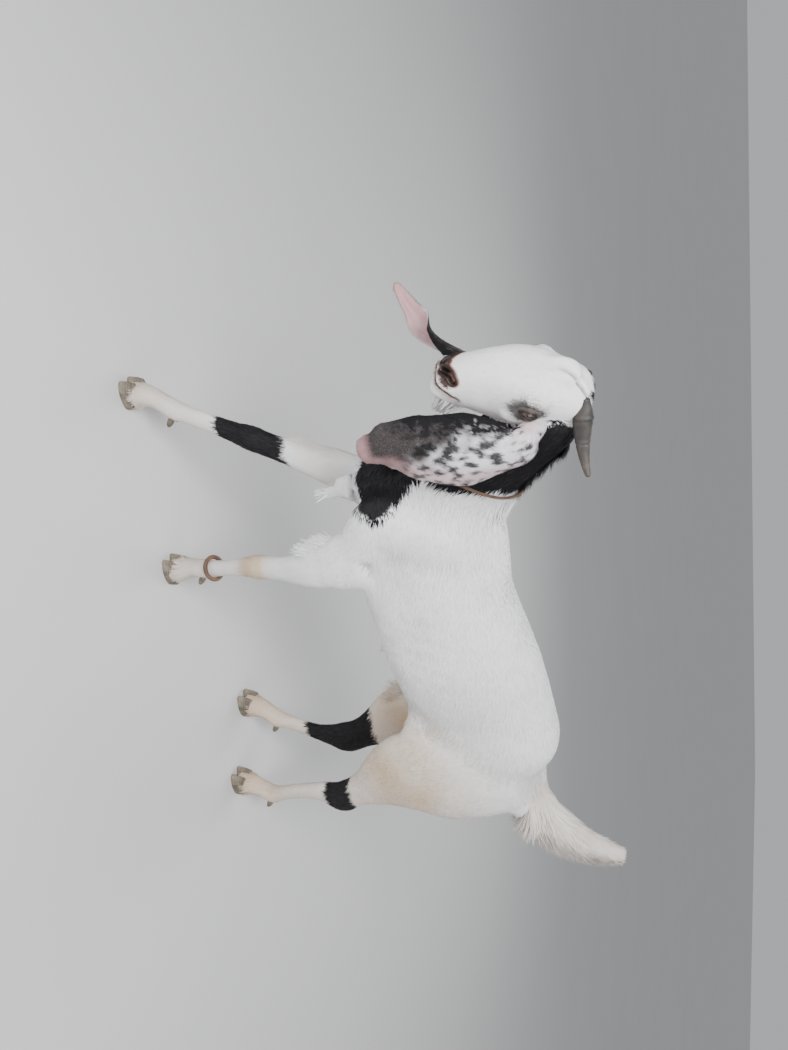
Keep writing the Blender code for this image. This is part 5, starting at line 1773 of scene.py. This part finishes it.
@dataclass
class LongHair:
    """The plume, mane, beard and fringes that hang from the short coat."""

    coat: Coat
    plume_count: int = 5800
    plume_length: float = 0.064
    mane_count: int = 3400
    mane_length: float = 0.026
    beard_length: float = 0.034
    feather_count: int = 250

    def plume(self) -> Hairs:
        """The bushy hair of the tail, long beneath and close above."""
        draw = self.coat.draw
        line = spread([at(row[0], 0, row[1]) for row in Tail().rows], 12)
        roots, lies, hangs = [], [], []
        while len(roots) < self.plume_count:
            share = draw.uniform(0.0, 1.0) ** 0.9
            place = int(14 + share * (len(line) - 16))
            along = (line[place + 1] - line[place]).normalized()
            under = along.cross(LEFT).normalized()
            under *= math.copysign(1, -under.z - 0.5 * FORWARD.dot(under))
            angle = draw.uniform(-math.pi, math.pi)
            spoke = under * math.cos(angle) + LEFT * math.sin(angle)
            hang = max(0.0, math.cos(angle)) * (1 - 0.75 * share)
            roots.append(line[place] + spoke * 0.03)
            lies.append(along + spoke * (0.10 + 0.62 * hang - 0.30 * max(0.0, share - 0.35)))
            hangs.append(1 + 0.30 * hang - 0.38 * share)
        made = self.coat.from_points(roots, lies, (self.plume_length, 0.12, 0.0030, 0.02), 0.10, Region.TAIL)
        made.lengths *= np.array(hangs)
        return made

    def mane(self) -> Hairs:
        """The short bristly hair along the top of the neck."""
        draw = self.coat.draw
        line = self.coat.skin.neck.middle()
        roots, lies = [], []
        for _ in range(self.mane_count):
            place = int(draw.uniform(22, len(line) - 8))
            along = (line[place + 1] - line[place]).normalized()
            crest = (UP - along * along.z).normalized()
            left = draw.normal(0, 0.16)
            spoke = (crest + LEFT * left).normalized()
            roots.append(line[place] + spoke * 0.09)
            lies.append(crest * draw.uniform(0.35, 0.65) - along * 0.9 + LEFT * (left * 1.2))
        return self.coat.from_points(roots, lies, (self.mane_length, 0.3, 0.0011, 0.0), 0.08, Region.NECK)

    def bunch(
        self, root: Vector, lie: Vector, radius: float, count: int, length: float, region: Region
    ) -> Hairs:
        """A pointed bunch that hangs from one place.

        Args:
            root: The middle of its roots.
            lie: Which way it hangs.
            radius: How widely its roots are set.
            count: How many tufts it has.
            length: Their length.
            region: The part of the body it hangs from.

        Returns:
            The roots with their sizes.
        """
        draw = self.coat.draw
        roots, lies = [], []
        for _ in range(count):
            offset = Vector(draw.normal(0, radius, 3))
            roots.append(root + offset)
            lies.append(lie.normalized() + Vector(draw.normal(0, 0.07, 3)) - offset * 22)
        return self.coat.from_points(roots, lies, (length, 0.25, 0.0036, 0.05), 0.02, region)

    def fringe(self, stops: Sequence[Row], lie: Vector, count: int, length: float, region: Region) -> Hairs:
        """A ragged row of hair along a line on the skin.

        Args:
            stops: The line's points as forward, left and up.
            lie: Which way the hair hangs.
            count: How many tufts it has.
            length: Their length.
            region: The part of the body it is on.

        Returns:
            The roots with their sizes.
        """
        draw = self.coat.draw
        line = spread([at(*stop) for stop in stops], 16)
        roots, lies = [], []
        for _ in range(count):
            root = line[int(draw.uniform(0, len(line)))] + Vector(draw.normal(0, 0.0055, 3))
            roots.append(root)
            lies.append(lie.normalized() + Vector(draw.normal(0, 0.14, 3)) + FORWARD * 0.20)
        return self.coat.from_points(roots, lies, (length, 0.35, 0.0012, 0.05), 0.12, region)

    def feathers(self, rows: Sequence[Row], region: Region) -> Hairs:
        """The hair that hangs over the coronet of one foot."""
        draw = self.coat.draw
        middle = at(*rows[-2][:2], 0.040)
        roots, lies = [], []
        for _ in range(self.feather_count):
            angle = draw.uniform(-math.pi, math.pi)
            spoke = FORWARD * math.cos(angle) + LEFT * math.sin(angle)
            lift = 0.008 * math.cos(angle) + draw.uniform(-0.004, 0.010)
            roots.append(middle + spoke * 0.030 + UP * lift)
            lies.append(spoke * 0.30 - UP + Vector(draw.normal(0, 0.10, 3)))
        return self.coat.from_points(roots, lies, (0.017, 0.20, 0.0016, 0.03), 0.10, region)

    def make(self) -> dict[str, Hairs]:
        """All the long hair by piece name."""
        # the order of these lines is that of the random draws
        chin = in_head(-0.012, 0.202, -0.034)
        beard = in_head(0, 0.62, -0.78) - in_head(0, 0, 0)
        brisket = self.bunch(at(0.694, 0, 0.458), at(-0.12, 0, -1), 0.008, 420, 0.032, Region.TRUNK)
        sheath = self.bunch(at(0.324, 0, 0.502), at(0.25, 0, -1), 0.006, 260, 0.028, Region.TRUNK)
        elbow = ((0.640, 0.078, 0.462), (0.628, 0.078, 0.436), (0.610, 0.076, 0.408))
        forearm = ((0.746, -0.062, 0.452), (0.760, -0.060, 0.424), (0.772, -0.058, 0.380))
        stifle = ((0.176, -0.070, 0.488), (0.158, -0.070, 0.462), (0.138, -0.070, 0.430))
        lie = at(0.12, 0, -1)
        feet = [self.feathers(rows, region) for region, rows in Legs().table().values()]
        feathers = feet[0].joined(feet[1]).joined(feet[2]).joined(feet[3])
        return {
            "feathers": feathers,
            "plume": self.plume(),
            "mane": self.mane(),
            "beard": self.bunch(chin, beard, 0.0075, 1000, self.beard_length, Region.HEAD),
            "brisket_hair": brisket.joined(sheath),
            "fringes": self.fringe(elbow, lie, 420, 0.024, Region.FORE_LEFT)
            .joined(self.fringe(forearm, lie, 520, 0.026, Region.FORE_RIGHT))
            .joined(self.fringe(stifle, lie, 420, 0.024, Region.HIND_RIGHT)),
        }


@dataclass
class Eye:
    """One eyeball with its iris and level slit."""

    socket: EyeSocket
    segments: int = 64

    def mesh(self) -> Mesh:
        """The ball, and where each point lies across the gaze."""
        shape = bmesh.new()
        radii = (self.socket.ball,) * 3
        Blob(eye_place(self.socket.turn), radii, segments=self.segments).into(shape)
        mesh = mesh_from(shape, "eyeball")
        points = points_of(mesh)
        nose, above, depth = self.socket.local(points).T
        half = self.socket.ball * 2
        front = depth > 0
        gaze = np.column_stack((0.5 + nose / half, 0.5 + above / half, front, front))
        paint_layer(mesh, "gaze", gaze)
        return mesh


@dataclass
class Ear:
    """A long hanging ear, a cupped leaf on a rolled root."""

    side: str
    width: float = 0.114
    thick: float = 0.0040
    steps: int = 18
    across: int = 51
    widths: Sequence[Row] = (
        (0.0, 0.22), (0.14, 0.30), (0.28, 0.64), (0.44, 1.0), (0.60, 0.92),
        (0.74, 0.66), (0.85, 0.46), (0.95, 0.37), (0.98, 0.26), (1.0, 0.06),
    )
    cups: Sequence[Row] = ((0.0, 140.0), (0.12, 110.0), (0.30, 62.0), (0.55, 34.0), (0.80, 26.0), (1.0, 30.0))

    def run(self) -> tuple[list[Vector], list[Vector]]:
        """The middle line from root to tip and the outward direction at each of its points."""
        if self.side == "left":
            line = [in_head(-0.042, 0.054, -0.030)]
            rows = (
                # forward, left, up, and the outward direction there
                (0.838, 0.114, 0.886, -0.15, 1.0, 0.3),
                (0.824, 0.131, 0.862, -0.10, 1.0, 0.2),
                (0.825, 0.139, 0.790, 0.10, 1.0, 0.1),
                (0.829, 0.138, 0.730, 0.15, 1.0, 0.0),
                (0.836, 0.133, 0.670, 0.15, 1.0, 0.0),
                (0.830, 0.128, 0.630, 0.10, 1.0, 0.0),
                (0.824, 0.125, 0.604, 0.10, 1.0, 0.0),
            )
        else:
            line = [in_head(0.042, 0.046, -0.028)]
            bend = in_head(0.064, 0.056, -0.034)
            rows = (
                (-bend.y, bend.x, bend.z, 0.5, -0.84, 0.3),
                (0.903, -0.016, 0.820, 0.9, -0.4, 0.2),
                (0.912, -0.036, 0.757, 0.95, -0.3, 0.1),
                (0.950, -0.056, 0.692, 0.8, -0.6, -0.2),
                (0.998, -0.074, 0.657, 0.6, -0.75, -0.5),
                (1.040, -0.088, 0.630, 0.4, -0.8, -0.6),
            )
        line += [at(*row[:3]) for row in rows]
        outs = [at(*rows[0][3:]), *(at(*row[3:]) for row in rows)]
        return spread(line, self.steps), spread(outs, self.steps)

    def faces(self) -> tuple[Array, Array, Array]:
        """The outer and inner faces as grids of points, and the length share of each row."""
        line, outs = self.run()
        turn = SIDES[self.side]
        outer, inner, shares = [], [], []
        for i, point in enumerate(line):
            share = i / (len(line) - 1)
            along = (line[min(i + 1, len(line) - 1)] - line[max(i - 1, 0)]).normalized()
            outward = (outs[i] - along * outs[i].dot(along)).normalized()
            sideways = along.cross(outward) * turn
            cup = math.radians(between(self.cups, share))
            ripple = 1 + 0.025 * noise.noise(Vector((share * 9, turn, 0.0)))
            curl = 1 - 0.35 * share - 1.1 * max(0.0, share - 0.70) if self.side == "right" else 1.0
            width = self.width * between(self.widths, share) * ripple * curl
            radius = width / (2 * math.sin(min(cup, math.pi / 2)))
            thick = self.thick * (1.5 - 0.9 * share)
            base = point - outward * radius * 0.5 * (1 + math.cos(cup))
            rows = ([], [])
            for j in range(self.across):
                part = 2 * j / (self.across - 1) - 1
                spoke = outward * math.cos(cup * part) + sideways * math.sin(cup * part)
                half = thick * math.sqrt(max(0.0, 1 - part**6)) / 2 + 0.0001
                wave = 0.0022 * noise.noise(Vector((share * 7, part * 1.6, 3.0 * turn))) * min(1, share * 4)
                fold = 0.0007 * math.sin(part * 11 + 3 * share) * (1 - share)
                rows[0].append(base + spoke * (radius + wave + half))
                rows[1].append(base + spoke * (radius + wave - half + fold))
            outer.append(rows[0])
            inner.append(rows[1])
            shares.append(share)
        return np.array(outer), np.array(inner), np.array(shares)

    def paint(self, points: Array, share: Array, part: Array, inside: bool) -> Array:
        """The masks at points of the ear.

        Args:
            points: Places in the goat's space.
            share: How far down the ear each is.
            part: How far across it, from -1 at the rear to 1 at the front.
            inside: Whether they are on the inner face.

        Returns:
            Rows of black, brown-grey, pink and an unused mask.
        """
        rough = speckle(points, 130, 1.0) + 0.6 * speckle(points, 340, 4.0)
        broad = speckle(points, 48, 2.0)
        stretched = points * (1.0, 1.0, 0.6)
        spots = speckle(stretched, 96, 7.0) + 0.40 * speckle(stretched, 250, 5.0)
        spots = 0.85 * blur_step(spots, 0.12, 0.52)
        spots *= blur_step(share, 0.19, 0.05) * (1 - blur_step(share, 0.66, 0.2))
        spots = np.maximum(spots, bell((share, 0.125, 0.012), (part, -0.05, 0.10)))
        front = blur_step(part + 0.42 * rough, 0.60, 0.46) * blur_step(share + 0.03 * rough, 0.17, 0.03)
        front *= 1 - blur_step(share, 0.70, 0.15)
        black = np.maximum(front, spots * 0.92)
        grey = blur_step(share + 0.10 * broad + 0.20 * part, 0.50, 0.20)
        pink = blur_step(share, 0.86, 0.10) * 0.7
        pink = np.maximum(pink, 0.55 * blur_step(-part, 0.45, 0.5) * blur_step(share, 0.25, 0.1))
        pink = np.maximum(pink, 0.5 * bell((share, 0.15, 0.05)) * blur_step(part, 0.1, 0.4))
        if self.side == "right":
            root = blur_step(share, 0.10, 0.06) * (1 - blur_step(share + 0.1 * broad, 0.46, 0.10))
            grey = np.maximum(grey, root)
        if inside:
            black = spots * 0.15 * blur_step(np.abs(part), 0.7, 0.2)
            pink = np.clip(0.95 - 0.6 * blur_step(np.abs(part), 0.86, 0.12) + 0.1 * rough, 0, 1)
            grey = blur_step(share + 0.10 * broad, 0.78, 0.15) * 0.8
        return np.column_stack((black, grey, pink, np.zeros(len(points))))

    def mesh(self) -> Mesh:
        """The closed leaf with its painted layer."""
        outer, inner, shares = self.faces()
        rows, columns = len(shares), self.across
        parts = np.linspace(-1, 1, columns)
        share, part = (grid.ravel() for grid in np.meshgrid(shares, parts, indexing="ij"))
        marks = np.stack(
            (
                self.paint(outer.reshape(-1, 3), share, part, False).reshape(rows, columns, 4),
                self.paint(inner.reshape(-1, 3), share, part, True).reshape(rows, columns, 4)[:, ::-1],
            ),
            axis=1,
        )
        places = np.stack((outer, inner[:, ::-1]), axis=1).reshape(-1, 3)
        ring = columns * 2
        near = np.arange((rows - 1) * ring)
        beside = near // ring * ring + (near + 1) % ring
        quads = np.column_stack((near, beside, beside + ring, near + ring)).tolist()
        last = (rows - 1) * ring
        quads += [list(range(ring))[::-1], list(range(last, last + ring))]
        mesh = bpy.data.meshes.new("ear")
        mesh.from_pydata(places.tolist(), [], quads)
        shape = bmesh.new()
        shape.from_mesh(mesh)
        bmesh.ops.recalc_face_normals(shape, faces=shape.faces)
        shape.to_mesh(mesh)
        shape.free()
        paint_layer(mesh, "marks", marks.reshape(-1, 4))
        return mesh

    def hairs(self, draw: Draw, count: int = 4500) -> Hairs:
        """Short flat hair over the outer face, with a fringe along the edges."""
        outer, _, shares = self.faces()
        rows = draw.uniform(4, len(shares) - 2, count)
        columns = np.clip(draw.normal(0, 0.62, count), -0.985, 0.985) * 0.5 + 0.5
        columns = np.where(draw.random(count) < 0.75, draw.random(count), columns) * (self.across - 1.001)
        row, column = rows.astype(int), columns.astype(int)
        start = outer[row, column]
        ahead = outer[row + 1, column] - start
        aside = outer[row, column + 1] - start
        roots = start + ahead * (rows % 1)[:, None] + aside * (columns % 1)[:, None]
        normals = unit(np.cross(ahead, aside)) * -SIDES[self.side]
        part = columns / (self.across - 1) * 2 - 1
        lies = unit(unit(ahead) + unit(aside) * (part * 0.35 + draw.normal(0, 0.12, count))[:, None])
        share = rows / (len(shares) - 1)
        lengths = 0.0070 * draw.uniform(0.7, 1.25, count) * (1 - 0.45 * share)
        places = np.column_stack((columns / self.across, share))
        marks = self.paint(roots, share, part, False)
        widths = lengths * draw.uniform(0.11, 0.16, count)
        return Hairs(roots, normals, lies, lengths, widths, lengths * 0.12, np.zeros(count), marks, places)


@dataclass
class Horn:
    """A short horn that sweeps back and outwards from the crown."""

    side: str
    length: float = 0.064
    radius: float = 0.0178
    rooted: float = 0.046
    # degrees outwards and upwards at the root, and what they gain towards the tip
    splay: Row = (30, 14)
    rise: Row = (-13, 7)
    right_droop: float = 30
    rings: int = 9
    count: int = 110
    around: int = 36

    def mesh(self) -> Mesh:
        """The ringed horn, closed at its blunt tip."""
        turn = SIDES[self.side]
        start = in_head(-turn * 0.0245, -0.010, 0.026)
        droop = math.radians(self.right_droop) if self.side == "right" else 0.0
        sections = []
        for i in range(self.count):
            share = i / (self.count - 1)
            splay = math.radians(self.splay[0] + self.splay[1] * share)
            rise = math.radians(self.rise[1] * share * share + self.rise[0]) - droop
            back = -math.sin(rise) - math.sin(SKULL.tilt)
            heading = Vector((-turn * math.sin(splay), back, -math.cos(splay)))
            point = start + HEAD_AXES @ (heading * (self.length + self.rooted) * share)
            taper = self.radius * (1 - 0.74 * share**1.3) * (0.40 + 0.60 * min(1.0, share / 0.26))
            wind = share * 2 * math.pi * self.rings + 1.5 * math.sin(share * 21)
            rings = 0.018 * math.sin(wind) * (1 - share)
            crease = -0.08 * math.exp(-(((share - 0.62) / 0.008) ** 2)) + 0.02 * (share < 0.61)
            size = taper * (1 + rings + crease)
            sections.append(Section(point, size * 0.72, size, size))
        tip = sections[-1]
        ahead = (tip.centre - sections[-2].centre).normalized()
        for share in (0.35, 0.65, 0.85, 0.96, 0.999):
            cap = math.sqrt(1 - share * share)
            centre = tip.centre + ahead * tip.up * share
            sections.append(Section(centre, tip.side * cap, tip.up * cap, tip.up * cap))
        shape = bmesh.new()
        Loft(sections, [HEAD_AXES.col[1]] * len(sections), self.around).into(shape)
        mesh = mesh_from(shape, "horn")
        shares = np.arange(len(mesh.vertices)) // self.around / self.count
        paint_layer(mesh, "wear", np.column_stack([np.clip(shares * 1.6 - 0.75, 0, 1)] * 4))
        return mesh


@dataclass
class Foot:
    """The two claws and two dewclaws of one leg."""

    rows: Sequence[Row]
    length: float = 0.062
    front: float = 0.041
    rear: float = 0.020
    half_width: float = 0.0125
    cleft: float = 0.0016
    levels: int = 22
    around: int = 56

    def coronet(self) -> tuple[Vector, float]:
        """The middle of the foot and how steeply its upper edge rises."""
        forward, left = self.rows[-1][:2]
        return at(forward, left, (self.front + self.rear) / 2), (self.front - self.rear) / self.length

    def claw(self, inner: int, middle: Vector, rise: float) -> Mesh:
        """One claw with growth rings and a flat sole.

        Args:
            inner: The side of the cleft, -1 or 1.
            middle: The middle of the foot at the coronet's height.
            rise: How steeply the coronet rises to the front.

        Returns:
            The closed mesh with its painted layer.
        """
        shape = bmesh.new()
        rings, worn = [], []
        for level in range(self.levels):
            share = level / (self.levels - 1)
            long = between(((0.0, 0.93), (0.10, 1.0), (0.55, 0.93), (1.0, 0.80)), share)
            broad = between(((0.0, 0.91), (0.10, 1.0), (0.55, 0.99), (1.0, 0.95)), share)
            groove = 1 - 0.018 * (0.5 + 0.5 * math.sin(share * 34))
            ring = []
            for i in range(self.around):
                angle = 2 * math.pi * i / self.around
                forward, across = math.cos(angle), math.sin(angle)
                front = self.length * (0.56 * long if forward > 0 else 0.44) * groove
                reach = front * math.copysign(abs(forward) ** 0.8, forward)
                pointed = 1 - 0.45 * max(0.0, reach / front) ** 2 if forward > 0 else 1.0
                bulge = math.copysign(abs(across) ** 0.85, across)
                lateral = self.half_width * broad * groove * bulge * pointed
                top = middle.z + rise * (reach - 0.004)
                outward = inner * (self.half_width + self.cleft) + lateral
                ring.append(shape.verts.new(at(-middle.y + reach, middle.x + outward, top * share)))
                worn.append(0.9 * (1 - share) * (forward > 0.3) + 0.25 * math.sin(share * 34))
            rings.append(ring)
        bridge(shape, rings)
        mesh = mesh_from(shape, "claw")
        paint_layer(mesh, "wear", np.column_stack([np.clip(worn, 0, 1)] * 4))
        return mesh

    def dewclaw(self, inner: int) -> Mesh:
        """A blunt dewclaw behind the fetlock."""
        fetlock = self.rows[-5]
        start = at(fetlock[0] - fetlock[4] * 0.55, fetlock[1] + inner * 0.010, fetlock[2] - 0.002)
        push = at(-1.0, inner * 0.25, -0.85).normalized()
        sizes = metres((0, 6.5), (8, 7), (14, 6.6), (20, 5), (23.5, 3), (25, 0.6))
        sections = [Section(start + push * reach, size * 0.95, size, size) for reach, size in sizes]
        shape = bmesh.new()
        smooth_loft(sections, UP, 4, 20).into(shape)
        mesh = mesh_from(shape, "dewclaw")
        paint_layer(mesh, "wear", np.zeros((len(mesh.vertices), 4)))
        return mesh


@dataclass
class Band:
    """A closed band made of strands that wind round a path."""

    path: Sequence[Vector]
    normal: Vector
    offset: float
    radius: float
    strands: int
    turns: int
    sides: int = 10

    def mesh(self) -> Mesh:
        """The closed strands in one mesh."""
        shape = bmesh.new()
        count = len(self.path)
        for strand in range(self.strands):
            rings = []
            for i, point in enumerate(self.path):
                along = (self.path[(i + 1) % count] - self.path[i - 1]).normalized()
                out = along.cross(self.normal).normalized()
                wind = 2 * math.pi * (self.turns * i / count + strand / self.strands)
                middle = point + (out * math.cos(wind) + self.normal * math.sin(wind)) * self.offset
                ring = []
                for j in range(self.sides):
                    angle = 2 * math.pi * j / self.sides
                    spoke = out * math.cos(angle) + self.normal * math.sin(angle)
                    ring.append(shape.verts.new(middle + spoke * self.radius))
                rings.append(ring)
            bridge(shape, rings, closed=True)
        return mesh_from(shape, "band")

    @classmethod
    def collar(cls, tree: BVHTree, cover: float = 0.0032, radius: float = 0.0028) -> "Band":
        """A thin twisted cord that lies round the base of the neck."""
        middle = at(0.742, 0.010, 0.742)
        normal = at(0.80, 0.05, 0.42).normalized()
        side = normal.cross(UP).normalized()
        up = side.cross(normal).normalized()
        spokes, reaches = [], []
        count = 40
        for i in range(count):
            angle = 2 * math.pi * i / count
            spoke = side * math.cos(angle) + up * math.sin(angle)
            hit = tree.ray_cast(middle + spoke * 0.3, -spoke, 0.3)
            spokes.append(spoke)
            reaches.append((hit[0] - middle).length + cover)
        high = [max(reaches[(i + k) % count] for k in (-2, -1, 0, 1, 2)) for i in range(count)]
        loose = [sum(high[(i + k) % count] for k in (-2, -1, 0, 1, 2)) / 5 for i in range(count)]
        path = [middle + spoke * (max(r, s) + radius + 0.0010) for spoke, r, s in zip(spokes, reaches, loose)]
        fine = spread([*path, path[0]], 10)[:-1]
        return cls(fine, normal, offset=radius * 0.48, radius=radius * 0.56, strands=3, turns=58, sides=8)

    @classmethod
    def anklet(cls, ring: float = 0.0240, thick: float = 0.0045) -> "Band":
        """The loose ring on the left fore fetlock."""
        centre = at(0.530, 0.022, 0.133)
        normal = at(0.22, 0.10, 1.0).normalized()
        side = normal.cross(FORWARD).normalized()
        front = side.cross(normal).normalized()
        path = []
        for i in range(200):
            angle = 2 * math.pi * i / 200
            reach = ring + 0.00025 * math.sin(angle * 40)
            path.append(centre + (side * math.cos(angle) + front * math.sin(angle)) * reach)
        return cls(path, normal, offset=0.0, radius=thick, strands=1, turns=0, sides=24)


class Studio:
    """The pale floor, the soft lights and the camera of the photograph."""

    eye: Row = (1.26712, 1.16221, 1.20)
    look: Row = (-0.79007, 0.43795, -0.42894)
    across: Row = (0.48481, 0.87462, 0.0)
    lens: float = 27.086
    sensor: float = 36.0
    aim: Row = (0.4, 0, 0.5)
    sky: Row = (0.78, 0.80, 0.82)
    sky_strength: float = 0.60

    def camera(self) -> None:
        """Set the camera where the photograph was taken, turned as the photograph is."""
        data = bpy.data.cameras.new("photo_view")
        data.sensor_width = self.sensor
        data.lens = self.lens
        made = add_object("photo_view", data)
        forward = Vector(self.look)
        right = Vector(self.across)
        up = right.cross(forward)
        turned = Matrix((up, -right, -forward)).transposed().to_4x4()
        made.matrix_world = Matrix.Translation(at(*self.eye) + SHIFT) @ turned
        bpy.context.scene.camera = made

    def lights(self) -> None:
        """Soft light from above and both sides."""
        for name, place, size, power in (
            ("key", (1.5, 1.3, 2.5), 1.1, 84.0),
            ("fill", (-0.8, 2.2, 1.6), 2.0, 22.0),
            ("front", (1.7, 1.2, 0.9), 0.9, 16.0),
            ("back", (-0.6, -1.8, 2.2), 1.8, 34.0),
        ):
            data = bpy.data.lights.new(name, "AREA")
            data.energy = power
            data.size = size
            made = add_object(name, data)
            spot = at(*place) + SHIFT
            aim = at(*self.aim) + SHIFT - spot
            made.matrix_world = Matrix.Translation(spot) @ aim.to_track_quat("-Z", "Y").to_matrix().to_4x4()
        world = bpy.data.worlds.new("studio")
        bpy.context.scene.world = world
        world.use_nodes = True
        background = world.node_tree.nodes["Background"]
        background.inputs[0].default_value = (*self.sky, 1.0)
        background.inputs[1].default_value = self.sky_strength

    def floor(self) -> None:
        """A wide pale floor."""
        graph = Graph("pale_floor")
        cloud = graph.noise(graph.place(), 1.5, 3.0)
        colour = graph.mix(cloud, (0.56, 0.56, 0.56), (0.60, 0.60, 0.60))
        shape = bmesh.new()
        bmesh.ops.create_grid(shape, x_segments=8, y_segments=8, size=60.0)
        mesh = mesh_from(shape, "floor")
        mesh.materials.append(graph.surface(colour, 0.8))
        add_object("floor", mesh)


class Goat:
    """The whole goat, piece by piece."""

    flesh: tuple[str, ...] = ("torso", "neck", "head", "tail", "scrotum")

    def __init__(self) -> None:
        """Grow the skin and make the hair's finish."""
        self.skin = Skin()
        self.skin.make()
        self.coat = Coat(self.skin)
        self.strands = CoatFinish("coat_hair", strands=True).material()

    def make(self) -> None:
        """Make every piece."""
        self.short_coat()
        self.long_coat()
        band = Band.collar(self.coat.tree).mesh()
        cord = BandFinish("cord", (0.055, 0.030, 0.020), (0.17, 0.10, 0.062), 0.8, 900.0).material()
        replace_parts(publish("collar_cord", band, cord), "collar")
        ring = BandFinish("moulded_band", (0.07, 0.035, 0.02), (0.17, 0.09, 0.05), 0.45, 500.0).material()
        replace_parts(publish("anklet_ring", Band.anklet().mesh(), ring), "anklet")
        self.head_parts()
        self.feet()
        body = publish("skin", self.skin.mesh, CoatFinish("coat_skin").material())
        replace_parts(body, *[name for name in frame["nodes"] if self.is_flesh(name)])

    def is_flesh(self, name: str) -> bool:
        """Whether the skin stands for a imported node."""
        return name in self.flesh or name.startswith(("foreleg", "hindleg"))

    def short_coat(self) -> None:
        """The flat hair over the whole skin."""
        legs = (Region.FORE_LEFT, Region.FORE_RIGHT, Region.HIND_LEFT, Region.HIND_RIGHT)
        table = (
            ("coat_trunk", (Region.TRUNK, Region.TAIL, Region.SCROTUM), Length.TRUNK, 0.0035, 0.045),
            ("coat_neck", (Region.NECK,), Length.NECK, 0.0030, 0.06),
            ("coat_head", (Region.HEAD,), Length.HEAD, 0.0020, 0.06),
            ("coat_legs", legs, Length.LEG, 0.0038, 0.06),
        )
        for name, regions, length, spacing, lift in table:
            hairs = self.coat.grow(regions, length.value, spacing, lift)
            self.coat.dress(name, hairs, self.strands, TuftMesh())

    def long_coat(self) -> None:
        """The plume, mane, beard and fringes."""
        stations = ((0.0, 1.0, 0.0), (0.25, 1.0, 0.5), (0.55, 0.85, 0.85), (0.82, 0.55, 1.0))
        for name, hairs in LongHair(self.coat).make().items():
            self.coat.dress(name, hairs, self.strands, TuftMesh(stations=stations))

    def head_parts(self) -> None:
        """Eyes, ears and horns."""
        wet = EyeFinish().material()
        leather = EarFinish("ear_leather").material()
        down = EarFinish("ear_hair", strands=True).material()
        keratin = HornFinish("horn_keratin", (0.017, 0.016, 0.017), (0.070, 0.054, 0.043)).material()
        for socket, side in zip(SOCKETS, SIDES):
            eye = publish(f"eyeball_{side}", Eye(socket).mesh(), wet)
            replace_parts(eye, f"eye_{side}")
            ear = Ear(side)
            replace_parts(publish(f"ear_leaf_{side}", ear.mesh(), leather), f"ear_{side}")
            self.coat.dress(f"ear_hair_{side}", ear.hairs(self.coat.draw), down, TuftMesh())
            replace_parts(publish(f"horn_body_{side}", Horn(side).mesh(), keratin), f"horn_{side}")

    def feet(self) -> None:
        """Claws and dewclaws."""
        shell = HornFinish("claw_keratin", (0.085, 0.068, 0.052), (0.30, 0.25, 0.19), rough=0.6).material()
        for (kind, side), (_, rows) in Legs().table().items():
            foot = Foot(rows)
            middle, rise = foot.coronet()
            for inner, place in ((-SIDES[side], "inner"), (SIDES[side], "outer")):
                key = f"{kind}_{side}_{place}"
                claw = publish(f"claw_{key}", foot.claw(inner, middle, rise), shell)
                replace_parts(claw, f"hoof_{key}")
                spur = publish(f"spur_{key}", foot.dewclaw(inner), shell)
                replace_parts(spur, f"dewclaw_{key}")


def main() -> None:
    """Build the goat's pieces in order."""
    logging.basicConfig(level=logging.INFO, format="%(message)s")
    studio = Studio()
    studio.camera()
    studio.lights()
    studio.floor()
    Goat().make()


if __name__ == "__main__":
    main()
